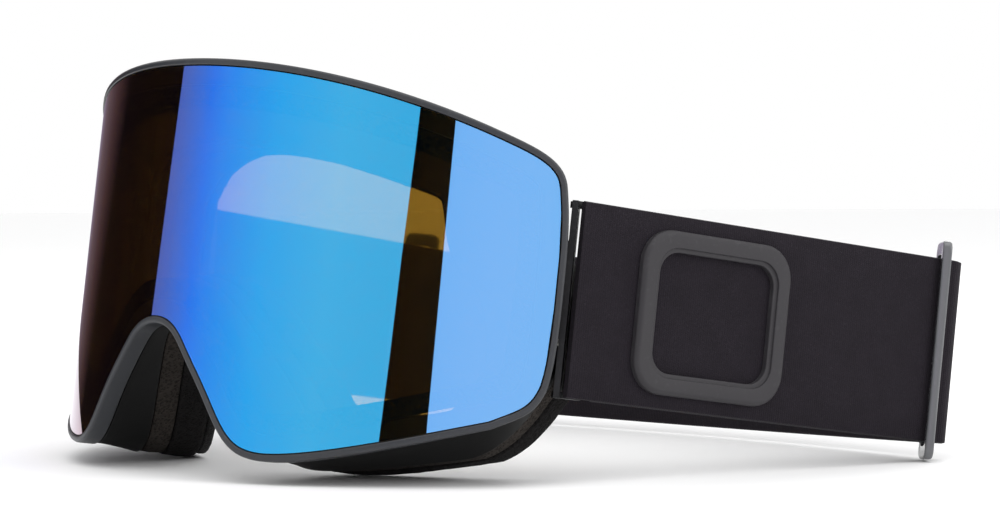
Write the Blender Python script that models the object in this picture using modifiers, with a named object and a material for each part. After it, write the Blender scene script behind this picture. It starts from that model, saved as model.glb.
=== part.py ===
"""Ski goggles with a cylindrical double lens, a face frame with layered foam, and an adjustable strap.

Blender 4.5, metres, +Z up. The shapes are worked out in the goggles' own frame, in millimetres:
X to the wearer's left, Y from the lens towards the face, Z up, origin on the middle of the lens front.
The whole object is then leaned back by REST_PITCH, as it lies on a table on its cheek foam and sliders.
"""

from math import atan2, cos, exp, radians, sin, sqrt, tan

import bmesh
import bpy
import numpy as np
from mathutils import Matrix, Vector

MM = 0.001

# ---- driving dimensions, mm and degrees ----
REST_PITCH = 8.1
LENS_RADIUS = 103.2
GAP = 0.3

# Outlines seen from the front; a rim or lens X is measured along the lens curve.
RIM = dict(half_width=105.1, top=29.0, crown=11.6, shoulder=103.7, shoulder_z=4.5, side_z=-20.0,
           cheek_side=103.7, cheek_z=-41.0, cheek_in=92.0, cheek_low=-51.3, low_x=38.0, low_z=-63.7,
           flank_x=15.2, flank_z=-45.3, bridge_x=9.4, bridge_z=-38.5, bridge_top=-34.0, low_round=12.0)
FACE = dict(half_width=79.5, top=28.0, crown=11.0, shoulder=76.0, shoulder_z=-4.0, side_z=-22.0,
            cheek_side=79.6, cheek_z=-40.0, cheek_in=68.0, cheek_low=-58.7, low_x=36.0, low_z=-64.8,
            flank_x=15.6, flank_z=-45.0, bridge_x=9.6, bridge_z=-37.6, bridge_top=-33.0, low_round=11.0)
# Where the crown turns down as a share of the half width, its drop as a share of crown, and its slope there.
CROWN_AT, CROWN_DROP, CROWN_SLOPE = 0.84, 1.17, 0.345
CORNER_REACH = 0.55
LOW_SLOPE, LOW_REACH = 0.3, 0.7
# Folds at tight corners are eased out until no stretch is shorter than this share of the outline's own.
FOLD_SHARE, FOLD_ROUNDS = 0.15, 200

RIM_WIDTH = 1.6
RIM_DEPTH = 4.6
RIM_CHAMFER, RIM_EDGE = 0.5, 0.3
LEDGE_WIDTH, LEDGE_DEPTH = 6.0, 2.1
LENS_DEPTH, LENS_THICKNESS = 0.35, 1.4
GASKET = dict(inset=6.6, width=4.4, depth=2.1, thickness=3.0)
INNER_LENS = dict(inset=6.4, depth=5.4, thickness=1.2)
PANE_STEP, PANE_TIP = 1.2, 0.25

FRAME_FRONT, FRAME_FLANGE, FRAME_WALL = 4.9, 2.0, 2.0
FRAME_REACH, BRIDGE_REACH_LOSS, BRIDGE_SPREAD = 18.5, 9.6, 27.0
FRAME_CHAMFER = 0.5
# The flange that carries the foam is narrow round the cheeks and nose and wider above them.
FLANGE_WIDTH, FLANGE_SPREAD, FLANGE_RISE = 11.0, 5.4, (-30.0, -5.0)
BASE_FOAM, CUSHION_FOAM, FLEECE, FLEECE_GAP = 6.0, 9.0, 2.4, 0.6
FOAM_EDGE = ((0.0, 1.0), (0.35, 0.3), (1.0, 0.0))
# The foam draws in towards the face by this share a mm, and gets thinner towards the temples.
FACE_TAPER = 0.0035
SIDE_THINNING, SIDE_RANGE = 0.22, (45.0, 78.0)

MAGNET, MAGNET_SINK = (9.0, 1.1, 3.2), 0.8
MAGNET_PLACES = ((-52.0, 21.9, -0.155), (0.0, 26.2, 0.0), (52.0, 21.9, 0.155), (58.0, -57.3, -0.2),
                 (-58.0, -57.3, 0.2))
VENT_PLACES = (-50.0, -30.0, -10.0, 10.0, 30.0, 50.0)
VENT_TOP, VENT_FALL, VENT_DEPTH = 26.0, 0.0012, 12.2
VENT_SLOT = (13.0, 4.2, 16.0)
VENT_FOAM = dict(half_length=60.0, drop=8.6, thick=3.0, front=7.6, back=12.0)

STRAP_WIDTH, STRAP_THICKNESS = 45.0, 1.6
STRAP_START = (86.8, 50.0)
STRAP_Z = -20.1
STRAP_ANGLE = 7.85
BAR_ALONG, BAR_RADIUS, BAR_CLEARANCE = 8.9, 1.4, 0.25
ARM_START = 4.4
TAB_WIDTH, TAB_THICKNESS, TAB_END = 41.4, 1.0, 14.0
ANCHOR_PLATE, ANCHOR_PLATE_WIDTH = 1.4, 5.6
ANCHOR_EAR, ANCHOR_EAR_WIDTH = 1.5, 3.4
WALL_LINE = ((83.9, 51.9), (79.2, 57.0))
SCREW_HEIGHTS = (-10.0, -30.0)
SCREW_RADIUS, SCREW_LENGTH, SCREW_OUT = 0.85, 3.0, 0.2
HOLE_RADIUS, HOLE_LENGTH = 1.15, 9.0
SLIDER_ALONG, SLIDER_CAP, SLIDER_BAR = 110.0, 4.2, 2.2
SLIDER_TILT = 31.0
SLIDER_EDGE, SLIDER_CAP_GAP = 0.55, 0.6
LOOP_CLEARANCE = 0.4
RETURN_END = 7.0
REAR_BEND_TURN, REAR_SAG = 84.0, 10.0

GRIP_REACH, GRIP_WIDTH, GRIP_THICKNESS, GRIP_SPACING = 78.0, 3.0, 0.6, 14.0

BADGE = dict(along=41.5, z=-20.3, length=43.0, height=38.0, corner=8.0, border=5.0, thick=2.2, edge=0.4)

# The webbing tab wraps the anchor's bar; the return layer wraps the slider's inner bar; the rear strap
# bends round that return layer.
TAB_BEND = BAR_RADIUS + BAR_CLEARANCE + TAB_THICKNESS / 2
BAR_OUT = -(STRAP_THICKNESS + GAP + TAB_THICKNESS / 2 + TAB_BEND)
SLIDER_LOOP = SLIDER_BAR / 2 + LOOP_CLEARANCE + STRAP_THICKNESS / 2
REAR_BEND = SLIDER_LOOP + STRAP_THICKNESS + GAP
OUTER_BAR_OUT = GAP + SLIDER_BAR / 2
INNER_BAR_OUT = -(REAR_BEND + STRAP_THICKNESS / 2)
INNER_BAR_ALONG = SLIDER_ALONG + (OUTER_BAR_OUT - INNER_BAR_OUT) * tan(radians(SLIDER_TILT))

COLOURS = {
    "lens_mirror_blue": ((0.10, 0.36, 0.80), 0.06, 0.9),
    "lens_clear_amber": ((0.55, 0.36, 0.20), 0.10, 0.0),
    "rim_satin_charcoal": ((0.075, 0.078, 0.085), 0.38, 0.0),
    "frame_soft_black": ((0.022, 0.021, 0.022), 0.55, 0.0),
    "foam_base_brown": ((0.085, 0.068, 0.058), 0.95, 0.0),
    "foam_black": ((0.018, 0.016, 0.016), 0.95, 0.0),
    "fleece_charcoal": ((0.030, 0.028, 0.028), 1.0, 0.0),
    "strap_knit_black": ((0.016, 0.013, 0.018), 0.9, 0.0),
    "badge_rubber_grey": ((0.035, 0.035, 0.038), 0.55, 0.0),
    "slider_gloss_grey": ((0.060, 0.060, 0.065), 0.28, 0.0),
    "silicone_clear_grey": ((0.20, 0.20, 0.21), 0.35, 0.0),
    "magnet_nickel": ((0.62, 0.61, 0.58), 0.30, 1.0),
}


# ---- scene, materials and empties ----

def clear_scene():
    for obj in list(bpy.data.objects):
        bpy.data.objects.remove(obj, do_unlink=True)


def new_collection(name):
    collection = bpy.data.collections.new(name)
    bpy.context.scene.collection.children.link(collection)
    return collection


def make_material(name):
    colour, roughness, metallic = COLOURS[name]
    material = bpy.data.materials.new(name)
    material.use_nodes = True
    shader = material.node_tree.nodes["Principled BSDF"]
    shader.inputs["Base Color"].default_value = (*colour, 1.0)
    shader.inputs["Roughness"].default_value = roughness
    shader.inputs["Metallic"].default_value = metallic
    material.diffuse_color = (*colour, 1.0)
    return material


def new_empty(name, parent, place_mm):
    """An empty whose place is given in the goggles' own frame."""
    empty = bpy.data.objects.new(name, None)
    empty.empty_display_size = 0.01
    goggles_parts.objects.link(empty)
    empty.parent = parent
    place = Vector(place_mm) * MM
    empty.location = place - origin_of(parent)
    origins[name] = place
    return empty


def origin_of(parent):
    return origins[parent.name]


def add_piece(name, parts, parent, material, smooth_angle=35.0):
    """One object from (points, faces) in the goggles' own frame, in mm."""
    points, faces = parts
    mesh = bpy.data.meshes.new(name)
    offset = origin_of(parent)
    mesh.from_pydata([Vector(p) * MM - offset for p in points], [], faces)
    return finish_piece(name, mesh, parent, material, smooth_angle)


def finish_piece(name, mesh, parent, material, smooth_angle=35.0):
    shape = bmesh.new()
    shape.from_mesh(mesh)
    bmesh.ops.recalc_face_normals(shape, faces=shape.faces)
    shape.to_mesh(mesh)
    shape.free()
    mesh.shade_smooth()
    mesh.set_sharp_from_angle(angle=radians(smooth_angle))
    obj = bpy.data.objects.new(name, mesh)
    goggles_parts.objects.link(obj)
    obj.parent = parent
    mesh.materials.append(materials[material])
    return obj


def add_boolean(obj, operation, other):
    modifier = obj.modifiers.new(operation.lower(), "BOOLEAN")
    modifier.operation = operation
    modifier.object = other
    modifier.solver = "EXACT"


def add_cutter(name, mesh, parent, matrix):
    """A hidden helper for a Boolean; matrix places it in the goggles' own frame, in metres."""
    cutter = bpy.data.objects.new(name, mesh)
    cutters.objects.link(cutter)
    cutter.parent = parent
    cutter.matrix_local = Matrix.Translation(-origin_of(parent)) @ matrix
    cutter.hide_render = True
    cutter.display_type = "WIRE"
    return cutter


def stand_on_ground():
    """Moves the whole object so that its lowest point is at Z = 0 and its box is centred on the origin."""
    bpy.context.view_layer.update()
    graph = bpy.context.evaluated_depsgraph_get()
    points = []
    for obj in goggles_parts.objects:
        if obj.type == "MESH":
            evaluated = obj.evaluated_get(graph)
            points += [evaluated.matrix_world @ v.co for v in evaluated.data.vertices]
    low = Vector((min(p[k] for p in points) for k in range(3)))
    high = Vector((max(p[k] for p in points) for k in range(3)))
    goggles.location = (0.0, -(low.y + high.y) / 2, -low.z)


# ---- outlines ----

def bezier(start, start_handle, end_handle, end, steps):
    """Points of a cubic, without its last one."""
    points = []
    for i in range(steps):
        t = i / steps
        a, b, c, d = (1 - t) ** 3, 3 * t * (1 - t) ** 2, 3 * t * t * (1 - t), t ** 3
        points.append(tuple(a * start[k] + b * start_handle[k] + c * end_handle[k] + d * end[k]
                            for k in (0, 1)))
    return points


def half_outline(d):
    """Right half of a goggles outline, from the top middle round to the nose bridge."""
    crown_x = CROWN_AT * d["half_width"]
    crown_z = d["top"] - CROWN_DROP * d["crown"]
    slope = CROWN_SLOPE
    points = bezier((0, d["top"]), (0.36 * crown_x, d["top"]),
                    (0.68 * crown_x, crown_z + 0.32 * crown_x * slope), (crown_x, crown_z), 9)
    reach = CORNER_REACH * (d["shoulder"] - crown_x)
    drop = CORNER_REACH * (crown_z - d["shoulder_z"])
    points += bezier((crown_x, crown_z), (crown_x + reach, crown_z - reach * slope),
                     (d["shoulder"] - 0.17 * drop, d["shoulder_z"] + drop),
                     (d["shoulder"], d["shoulder_z"]), 6)
    points += bezier((d["shoulder"], d["shoulder_z"]), (d["shoulder"] + 1.6, d["shoulder_z"] - 9),
                     (d["half_width"], d["side_z"] + 9), (d["half_width"], d["side_z"]), 3)
    points += bezier((d["half_width"], d["side_z"]), (d["half_width"], d["side_z"] - 6),
                     (d["cheek_side"] + 1.3, d["cheek_z"] + 5.5), (d["cheek_side"], d["cheek_z"]), 2)
    cheek = CORNER_REACH * (d["cheek_side"] - d["cheek_in"])
    points += bezier((d["cheek_side"], d["cheek_z"]),
                     (d["cheek_side"] - 0.35 * cheek, d["cheek_z"] - cheek),
                     (d["cheek_in"] + cheek, d["cheek_low"] + 0.52 * cheek),
                     (d["cheek_in"], d["cheek_low"]), 5)
    run = (d["cheek_in"] - d["low_x"]) / 3
    points += bezier((d["cheek_in"], d["cheek_low"]),
                     (d["cheek_in"] - run, d["cheek_low"] - LOW_SLOPE * run),
                     (d["low_x"] + LOW_REACH * run, d["low_z"]), (d["low_x"], d["low_z"]), 5)
    points += bezier((d["low_x"], d["low_z"]), (d["low_x"] - d["low_round"], d["low_z"] + 0.2),
                     (d["flank_x"] + 0.8 * d["low_round"], d["flank_z"] - 0.92 * d["low_round"]),
                     (d["flank_x"], d["flank_z"]), 7)
    points += bezier((d["flank_x"], d["flank_z"]), (d["flank_x"] - 2, d["flank_z"] + 2.3),
                     (d["bridge_x"] + 2, d["bridge_z"] - 2.3), (d["bridge_x"], d["bridge_z"]), 1)
    points += bezier((d["bridge_x"], d["bridge_z"]), (d["bridge_x"] - 2.7, d["bridge_z"] + 3.1),
                     (3.9, d["bridge_top"]), (0, d["bridge_top"]), 4)
    return points + [(0, d["bridge_top"])]


def whole_outline(d):
    """Closed outline, running down the +X side and back up the -X side."""
    half = half_outline(d)
    return half + [(-x, z) for x, z in half[-2:0:-1]]


def inset(outline, widths):
    """The outline moved inwards by a width at each point, with folds at tight corners eased out."""
    line = np.array(outline)
    ahead = np.roll(line, -1, axis=0) - np.roll(line, 1, axis=0)
    ahead /= np.linalg.norm(ahead, axis=1)[:, None]
    across = np.stack([ahead[:, 1], -ahead[:, 0]], axis=1)
    moved = line + np.reshape(widths, (-1, 1)) * across
    run = np.roll(line, -1, axis=0) - line
    shortest = FOLD_SHARE * (run * run).sum(axis=1)
    for _ in range(FOLD_ROUNDS):
        folded = ((np.roll(moved, -1, axis=0) - moved) * run).sum(axis=1) < shortest
        if not folded.any():
            break
        near = folded | np.roll(folded, 1) | np.roll(folded, 2) | np.roll(folded, -1)
        eased = (np.roll(moved, 1, axis=0) + np.roll(moved, -1, axis=0)) / 2
        moved = np.where(near[:, None], (moved + eased) / 2, moved)
    return moved.tolist()


def smooth_step(value, low, high):
    t = min(max((value - low) / (high - low), 0.0), 1.0)
    return t * t * (3 - 2 * t)


def lens_point(s, z, depth):
    """A place on the lens curve: s along it, z up, depth towards its axis."""
    radius = LENS_RADIUS - depth
    return radius * sin(s / LENS_RADIUS), LENS_RADIUS - radius * cos(s / LENS_RADIUS), z


def front_loop(width, depth):
    """A loop parallel to the rim's outline, inset by a width."""
    return [lens_point(s, z, depth) for s, z in inset(rim_outline, width)]


def flange_widths(extra=0.0):
    """Width of the flange at each point of the face outline."""
    return [FLANGE_WIDTH + FLANGE_SPREAD * smooth_step(z, *FLANGE_RISE) + extra for _, z in face_outline]


def reach_at(x, z):
    """Depth of the face frame behind the lens front: shallow at the nose bridge."""
    near_bridge = exp(-(x * x + (z + 30) ** 2) / BRIDGE_SPREAD ** 2)
    return FRAME_REACH - BRIDGE_REACH_LOSS * near_bridge


def face_y(x, z):
    return LENS_RADIUS - sqrt(LENS_RADIUS ** 2 - x * x) + reach_at(x, z)


def face_loop(width, behind, taper=0.0):
    """A loop on the face side, inset by a width, at a distance behind the frame's back face."""
    loop = []
    for x, z in inset(face_outline, width):
        thinner = 1 - SIDE_THINNING * smooth_step(abs(x), *SIDE_RANGE)
        loop.append((x * (1 - taper * behind), face_y(x, z) + behind * thinner, z))
    return loop


# ---- generic solids ----

def ring_solid(loops):
    """A closed ring: each loop is joined to the next, and the last to the first."""
    count = len(loops[0])
    points = [p for loop in loops for p in loop]
    faces = []
    for a in range(len(loops)):
        b = (a + 1) % len(loops)
        for i in range(count):
            j = (i + 1) % count
            faces.append((a * count + i, a * count + j, b * count + j, b * count + i))
    return points, faces


def strip_solid(sections):
    """A bar with flat ends: the sections run along it, each one the same count of points."""
    count = len(sections[0])
    points = [p for section in sections for p in section]
    faces = []
    for a in range(len(sections) - 1):
        for i in range(count):
            j = (i + 1) % count
            faces.append((a * count + i, a * count + j, (a + 1) * count + j, (a + 1) * count + i))
    last = (len(sections) - 1) * count
    faces.append(tuple(range(count)))
    faces.append(tuple(last + i for i in range(count)))
    return points, faces


def interpolate(chain, s):
    for (s0, z0), (s1, z1) in zip(chain, chain[1:]):
        if s0 <= s <= s1:
            return z0 + (z1 - z0) * (s - s0) / max(s1 - s0, 1e-9)
    return chain[-1][1] if s > chain[-1][0] else chain[0][1]


def lens_solid(width, depth, thickness):
    """A curved pane: upright strips between the outline's upper and lower edges."""
    outline = inset(rim_outline, width)
    half = outline[:len(outline) // 2 + 1]
    widest = max(range(len(half)), key=lambda i: half[i][0])
    upper = half[:widest + 1]
    lower = sorted(half[widest:])
    stations = []
    for s in sorted([p[0] for p in upper] + [p[0] for p in lower]):
        if not stations or s - stations[-1] > PANE_STEP:
            stations.append(s)
    stations[-1] = half[widest][0] - PANE_TIP
    pairs = [(s, interpolate(upper, s), interpolate(lower, s)) for s in stations]
    pairs = [(-s, a, b) for s, a, b in reversed(pairs[1:])] + pairs
    sections = []
    for s, top, bottom in pairs:
        corners = ((top, depth), (top, depth + thickness), (bottom, depth + thickness), (bottom, depth))
        sections.append([lens_point(s, z, d) for z, d in corners])
    return strip_solid(sections)


def box_mesh(name, size_mm):
    shape = bmesh.new()
    bmesh.ops.create_cube(shape, size=1.0)
    for v in shape.verts:
        v.co = Vector((v.co[k] * size_mm[k] * MM for k in range(3)))
    mesh = bpy.data.meshes.new(name)
    shape.to_mesh(mesh)
    shape.free()
    return mesh


def cylinder_mesh(name, radius_mm, length_mm, sides=16):
    shape = bmesh.new()
    bmesh.ops.create_cone(shape, cap_ends=True, segments=sides, radius1=radius_mm * MM,
                          radius2=radius_mm * MM, depth=length_mm * MM)
    mesh = bpy.data.meshes.new(name)
    shape.to_mesh(mesh)
    shape.free()
    return mesh


def on_lens(s, z, depth, tilt=0.0):
    """Matrix of a place in the lens curve: local X along it, local Y towards the face, local Z up."""
    place = Vector(lens_point(s, z, depth)) * MM
    turn = Matrix.Rotation(s / LENS_RADIUS, 4, "Z") @ Matrix.Rotation(tilt, 4, "Y")
    return Matrix.Translation(place) @ turn


def place_mesh(name, mesh, parent, material, matrix, smooth_angle=35.0):
    """A mesh moved to a place of the goggles' own frame."""
    mesh.transform(Matrix.Translation(-origin_of(parent)) @ matrix)
    return finish_piece(name, mesh, parent, material, smooth_angle)


# ---- lens unit ----

def cut_magnet_pockets(obj, parent, depth):
    """A pocket for each magnet or keeper plate, open at the face where the lens unit meets the frame."""
    size = (MAGNET[0] + 2 * GAP, 2 * (MAGNET_SINK + MAGNET[1] / 2 + GAP), MAGNET[2] + 2 * GAP)
    for i, (s, z, tilt) in enumerate(MAGNET_PLACES):
        name = f"{obj.name}_pocket_{i}"
        pocket = add_cutter(name, box_mesh(name, size), parent, on_lens(s, z, depth, tilt))
        add_boolean(obj, "DIFFERENCE", pocket)


def make_rim():
    sections = [front_loop(0.0, RIM_CHAMFER), front_loop(RIM_CHAMFER, 0.0),
                front_loop(RIM_WIDTH - RIM_EDGE, 0.0), front_loop(RIM_WIDTH, RIM_EDGE),
                front_loop(RIM_WIDTH, LEDGE_DEPTH),
                front_loop(LEDGE_WIDTH, LEDGE_DEPTH), front_loop(LEDGE_WIDTH, RIM_DEPTH),
                front_loop(RIM_EDGE, RIM_DEPTH), front_loop(0.0, RIM_DEPTH - RIM_EDGE)]
    rim = add_piece("lens_rim", ring_solid(sections), lens_unit, "rim_satin_charcoal")
    cut_magnet_pockets(rim, lens_unit, RIM_DEPTH)


def make_magnets():
    for i, (s, z, tilt) in enumerate(MAGNET_PLACES):
        for name, parent, depth in (("lens_magnet", lens_unit, RIM_DEPTH - MAGNET_SINK),
                                    ("magnet_keeper", goggles, FRAME_FRONT + MAGNET_SINK)):
            place_mesh(f"{name}_{i + 1}", box_mesh(name, MAGNET), parent, "magnet_nickel",
                       on_lens(s, z, depth, tilt))


def make_lenses():
    outer = lens_solid(RIM_WIDTH + GAP, LENS_DEPTH, LENS_THICKNESS)
    add_piece("outer_lens", outer, lens_unit, "lens_mirror_blue")
    near, far = GASKET["inset"], GASKET["inset"] + GASKET["width"]
    front, back = GASKET["depth"], GASKET["depth"] + GASKET["thickness"]
    loops = [front_loop(near, front), front_loop(far, front), front_loop(far, back), front_loop(near, back)]
    add_piece("lens_gasket", ring_solid(loops), lens_unit, "foam_black")
    inner = lens_solid(INNER_LENS["inset"], INNER_LENS["depth"], INNER_LENS["thickness"])
    add_piece("inner_lens", inner, lens_unit, "lens_clear_amber")


# ---- face frame and foams ----

def make_face_frame():
    """A hollow wall from the rim back to a flange round the face, with a front flange for the lens unit."""
    flange = flange_widths()
    inside = FRAME_WALL + FRAME_CHAMFER
    front_back = FRAME_FRONT + FRAME_FLANGE
    sections = [front_loop(FRAME_CHAMFER, FRAME_FRONT), front_loop(GAP, FRAME_FRONT + FRAME_CHAMFER),
                face_loop(0.0, -FRAME_CHAMFER), face_loop(FRAME_CHAMFER, 0.0), face_loop(flange, 0.0),
                face_loop(flange, -FRAME_WALL), face_loop(inside, -FRAME_WALL),
                front_loop(inside, front_back), front_loop(LEDGE_WIDTH, front_back),
                front_loop(LEDGE_WIDTH, FRAME_FRONT)]
    frame = add_piece("face_frame", ring_solid(sections), goggles, "frame_soft_black")
    cut_magnet_pockets(frame, goggles, FRAME_FRONT)
    for i, s in enumerate(VENT_PLACES):
        slot = add_cutter(f"vent_slot_{i}", box_mesh("vent_slot", VENT_SLOT), goggles,
                          on_lens(s, VENT_TOP - VENT_FALL * s * s, VENT_DEPTH))
        add_boolean(frame, "DIFFERENCE", slot)
    for side in (1, -1):
        for k, z in enumerate(SCREW_HEIGHTS):
            hole = add_cutter(f"frame_hole_{side}_{k}", cylinder_mesh("frame_hole", HOLE_RADIUS, HOLE_LENGTH),
                              goggles, anchor_matrix(side, 0.0, z))
            add_boolean(frame, "DIFFERENCE", hole)


def foam_ring(name, near, far, outer, extra, material, edge=0.0):
    """A layer of face foam between two distances behind the frame; edge rounds off its far side."""
    inner = np.array(flange_widths(extra))
    steps = [(across * edge, down * edge) for across, down in FOAM_EDGE] if edge else [(0.0, 0.0)]
    loops = [face_loop(outer, near, FACE_TAPER)]
    loops += [face_loop(outer + across, far - down, FACE_TAPER) for across, down in steps]
    loops += [face_loop(inner - across, far - down, FACE_TAPER) for across, down in reversed(steps)]
    loops.append(face_loop(inner, near, FACE_TAPER))
    add_piece(name, ring_solid(loops), goggles, material, 50.0)


def make_face_foams():
    near = GAP
    foam_ring("foam_base", near, near + BASE_FOAM, 0.6, 0.6, "foam_base_brown")
    near += BASE_FOAM + GAP
    foam_ring("foam_cushion", near, near + CUSHION_FOAM, 0.3, 1.2, "foam_black", 1.2)
    near += CUSHION_FOAM + FLEECE_GAP
    foam_ring("foam_fleece", near, near + FLEECE, 1.5, 0.0, "fleece_charcoal", 0.8)


def make_vent_foam():
    """Filter foam under the vent slots; it follows the lens curve."""
    foam = VENT_FOAM
    crown = sorted(p for p in rim_outline if p[0] >= 0 and p[1] > 0)
    front, back = foam["front"], foam["back"]
    sections = []
    for s in np.linspace(-foam["half_length"], foam["half_length"], 17):
        low = interpolate(crown, abs(s)) - foam["drop"]
        high = low + foam["thick"]
        sections.append([lens_point(s, z, depth)
                         for z, depth in ((low, front), (low, back), (high, back), (high, front))])
    add_piece("vent_foam_upper", strip_solid(sections), goggles, "foam_black")


# ---- strap ----

def strap_frame(side):
    """Directions of one strap arm in plan: along it, and outwards from it."""
    b = radians(STRAP_ANGLE)
    return Vector((side * sin(b), cos(b), 0)), Vector((side * cos(b), -sin(b), 0))


def strap_point(side, along, out, z=0.0):
    """A place by an arm: along it from its start, outwards from its outer face, height z."""
    along_dir, out_dir = strap_frame(side)
    start = Vector((side * STRAP_START[0], STRAP_START[1], 0))
    return start + along_dir * along + out_dir * out + Vector((0, 0, z))


def anchor_matrix(side, out, z):
    """Local Z across the temple wall: from the face frame out to the strap anchor."""
    wall_from, wall_to = WALL_LINE
    direction = Vector((side * (wall_to[0] - wall_from[0]), wall_to[1] - wall_from[1], 0)).normalized()
    normal = Vector((side * abs(direction.y), abs(direction.x), 0))
    middle = Vector((side * (wall_from[0] + wall_to[0]) / 2, (wall_from[1] + wall_to[1]) / 2, z))
    turn = Matrix.Identity(3)
    turn.col[2] = normal
    turn.col[1] = Vector((0, 0, 1))
    turn.col[0] = turn.col[1].cross(normal)
    return Matrix.Translation((middle + normal * out) * MM) @ turn.to_4x4()


def plan_arc(centre, radius, start, turn, steps):
    """Points of an arc in plan; angles in degrees, counted from +X towards +Y."""
    points = []
    for i in range(steps + 1):
        angle = radians(start + turn * i / steps)
        points.append((centre[0] + radius * cos(angle), centre[1] + radius * sin(angle)))
    return points


def mirrored(points, side):
    """Points in plan of the +X side, moved to the asked side."""
    return [(side * x, y) for x, y in points]


def ribbon(name, path, heights, parent, material, thickness):
    """A strap: an upright ribbon along a path in plan, thickened to both sides."""
    shape = bmesh.new()
    offset = origin_of(parent)
    rows = []
    for (x, y), (low, high) in zip(path, heights):
        rows.append([shape.verts.new(Vector((x, y, z)) * MM - offset)
                     for z in (low, low + (high - low) / 2, high)])
    for a, b in zip(rows, rows[1:]):
        for k in (0, 1):
            shape.faces.new((a[k], b[k], b[k + 1], a[k + 1]))
    mesh = bpy.data.meshes.new(name)
    shape.to_mesh(mesh)
    shape.free()
    obj = bpy.data.objects.new(name, mesh)
    goggles_parts.objects.link(obj)
    obj.parent = parent
    mesh.materials.append(materials[material])
    thicken = obj.modifiers.new("thickness", "SOLIDIFY")
    thicken.thickness = thickness * MM
    thicken.offset = 0.0
    thicken.use_even_offset = True
    return obj


def level_heights(middle, width, count):
    """The lower and upper edge of a ribbon, the same at every point."""
    return [(middle - width / 2, middle + width / 2)] * count


def make_anchor(side, word):
    """A screwed plate with two ears that carry an upright bar."""
    half = STRAP_WIDTH / 2
    bar_place = strap_point(side, BAR_ALONG, BAR_OUT, STRAP_Z)
    plate_place = anchor_matrix(side, GAP + ANCHOR_PLATE / 2, STRAP_Z)
    bar = cylinder_mesh("anchor_bar", BAR_RADIUS, STRAP_WIDTH - ANCHOR_EAR, 14)
    anchor = place_mesh(f"strap_anchor_{word}", bar, goggles, "rim_satin_charcoal",
                        Matrix.Translation(bar_place * MM))
    plate = add_cutter(f"anchor_plate_{word}",
                       box_mesh("anchor_plate", (ANCHOR_PLATE_WIDTH, STRAP_WIDTH, ANCHOR_PLATE)),
                       goggles, plate_place)
    add_boolean(anchor, "UNION", plate)
    reach = bar_place - plate_place.translation / MM
    middle = bar_place - reach / 2
    turn = Matrix.Rotation(atan2(reach.y, reach.x), 4, "Z")
    ear_size = (reach.length + BAR_RADIUS, ANCHOR_EAR_WIDTH, ANCHOR_EAR)
    for k, sign in enumerate((1, -1)):
        place = middle + Vector((0, 0, sign * (half - ANCHOR_EAR / 2)))
        ear = add_cutter(f"anchor_ear_{word}_{k}", box_mesh("anchor_ear", ear_size), goggles,
                         Matrix.Translation(place * MM) @ turn)
        add_boolean(anchor, "UNION", ear)
    for k, z in enumerate(SCREW_HEIGHTS):
        hole = add_cutter(f"plate_hole_{word}_{k}", cylinder_mesh("plate_hole", HOLE_RADIUS, HOLE_LENGTH),
                          goggles, anchor_matrix(side, 0.0, z))
        add_boolean(anchor, "DIFFERENCE", hole)
        screw = cylinder_mesh("anchor_screw", SCREW_RADIUS, SCREW_LENGTH, 12)
        place_mesh(f"anchor_screw_{word}_{k + 1}", screw, goggles, "magnet_nickel",
                   anchor_matrix(side, SCREW_OUT, z))


def make_strap_side(side, word):
    """The outer layer, the tab that turns on the anchor's bar, the return layer, the badge and the slider."""
    pivot = strap_point(side, BAR_ALONG, BAR_OUT, STRAP_Z)
    arm = new_empty(f"strap_{word}_pivot", goggles, pivot)
    stop = new_empty(f"slider_{word}_start", arm, strap_point(side, SLIDER_ALONG, 0, STRAP_Z))

    stations = (INNER_BAR_ALONG - GAP, 80.0, 50.0, 20.0, ARM_START)
    path = [strap_point(side, along, -STRAP_THICKNESS / 2)[:2] for along in stations]
    ribbon(f"strap_arm_{word}", path, level_heights(STRAP_Z, STRAP_WIDTH, len(path)), arm,
           "strap_knit_black", STRAP_THICKNESS)

    path = [strap_point(side, TAB_END, BAR_OUT + TAB_BEND)[:2]]
    path += mirrored(plan_arc(strap_point(1, BAR_ALONG, BAR_OUT), TAB_BEND, -STRAP_ANGLE, -180.0, 8), side)
    path.append(strap_point(side, TAB_END, BAR_OUT - TAB_BEND)[:2])
    ribbon(f"strap_tab_{word}", path, level_heights(STRAP_Z, TAB_WIDTH, len(path)), arm,
           "strap_knit_black", TAB_THICKNESS)

    near_out, far_out = BAR_OUT - TAB_BEND, INNER_BAR_OUT - SLIDER_LOOP
    stations = ((TAB_END + GAP, near_out), (30.0, near_out), (70.0, (near_out + far_out) / 2),
                (100.0, far_out))
    path = [strap_point(side, along, out)[:2] for along, out in stations]
    path += mirrored(plan_arc(strap_point(1, INNER_BAR_ALONG, INNER_BAR_OUT), SLIDER_LOOP,
                              180 - STRAP_ANGLE, -180.0, 8), side)
    path.append(strap_point(side, INNER_BAR_ALONG - RETURN_END, INNER_BAR_OUT + SLIDER_LOOP)[:2])
    ribbon(f"strap_return_{word}", path, level_heights(STRAP_Z, STRAP_WIDTH, len(path)), arm,
           "strap_knit_black", STRAP_THICKNESS)

    make_badge(side, word, arm)
    make_slider(side, word, stop)


def rounded_rectangle(length, height, corner):
    points = []
    for cx, cz, start in ((1, 1, 0), (-1, 1, 90), (-1, -1, 180), (1, -1, 270)):
        centre = (cx * (length / 2 - corner), cz * (height / 2 - corner))
        points += plan_arc(centre, corner, start, 90.0, 4)
    return points


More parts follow.
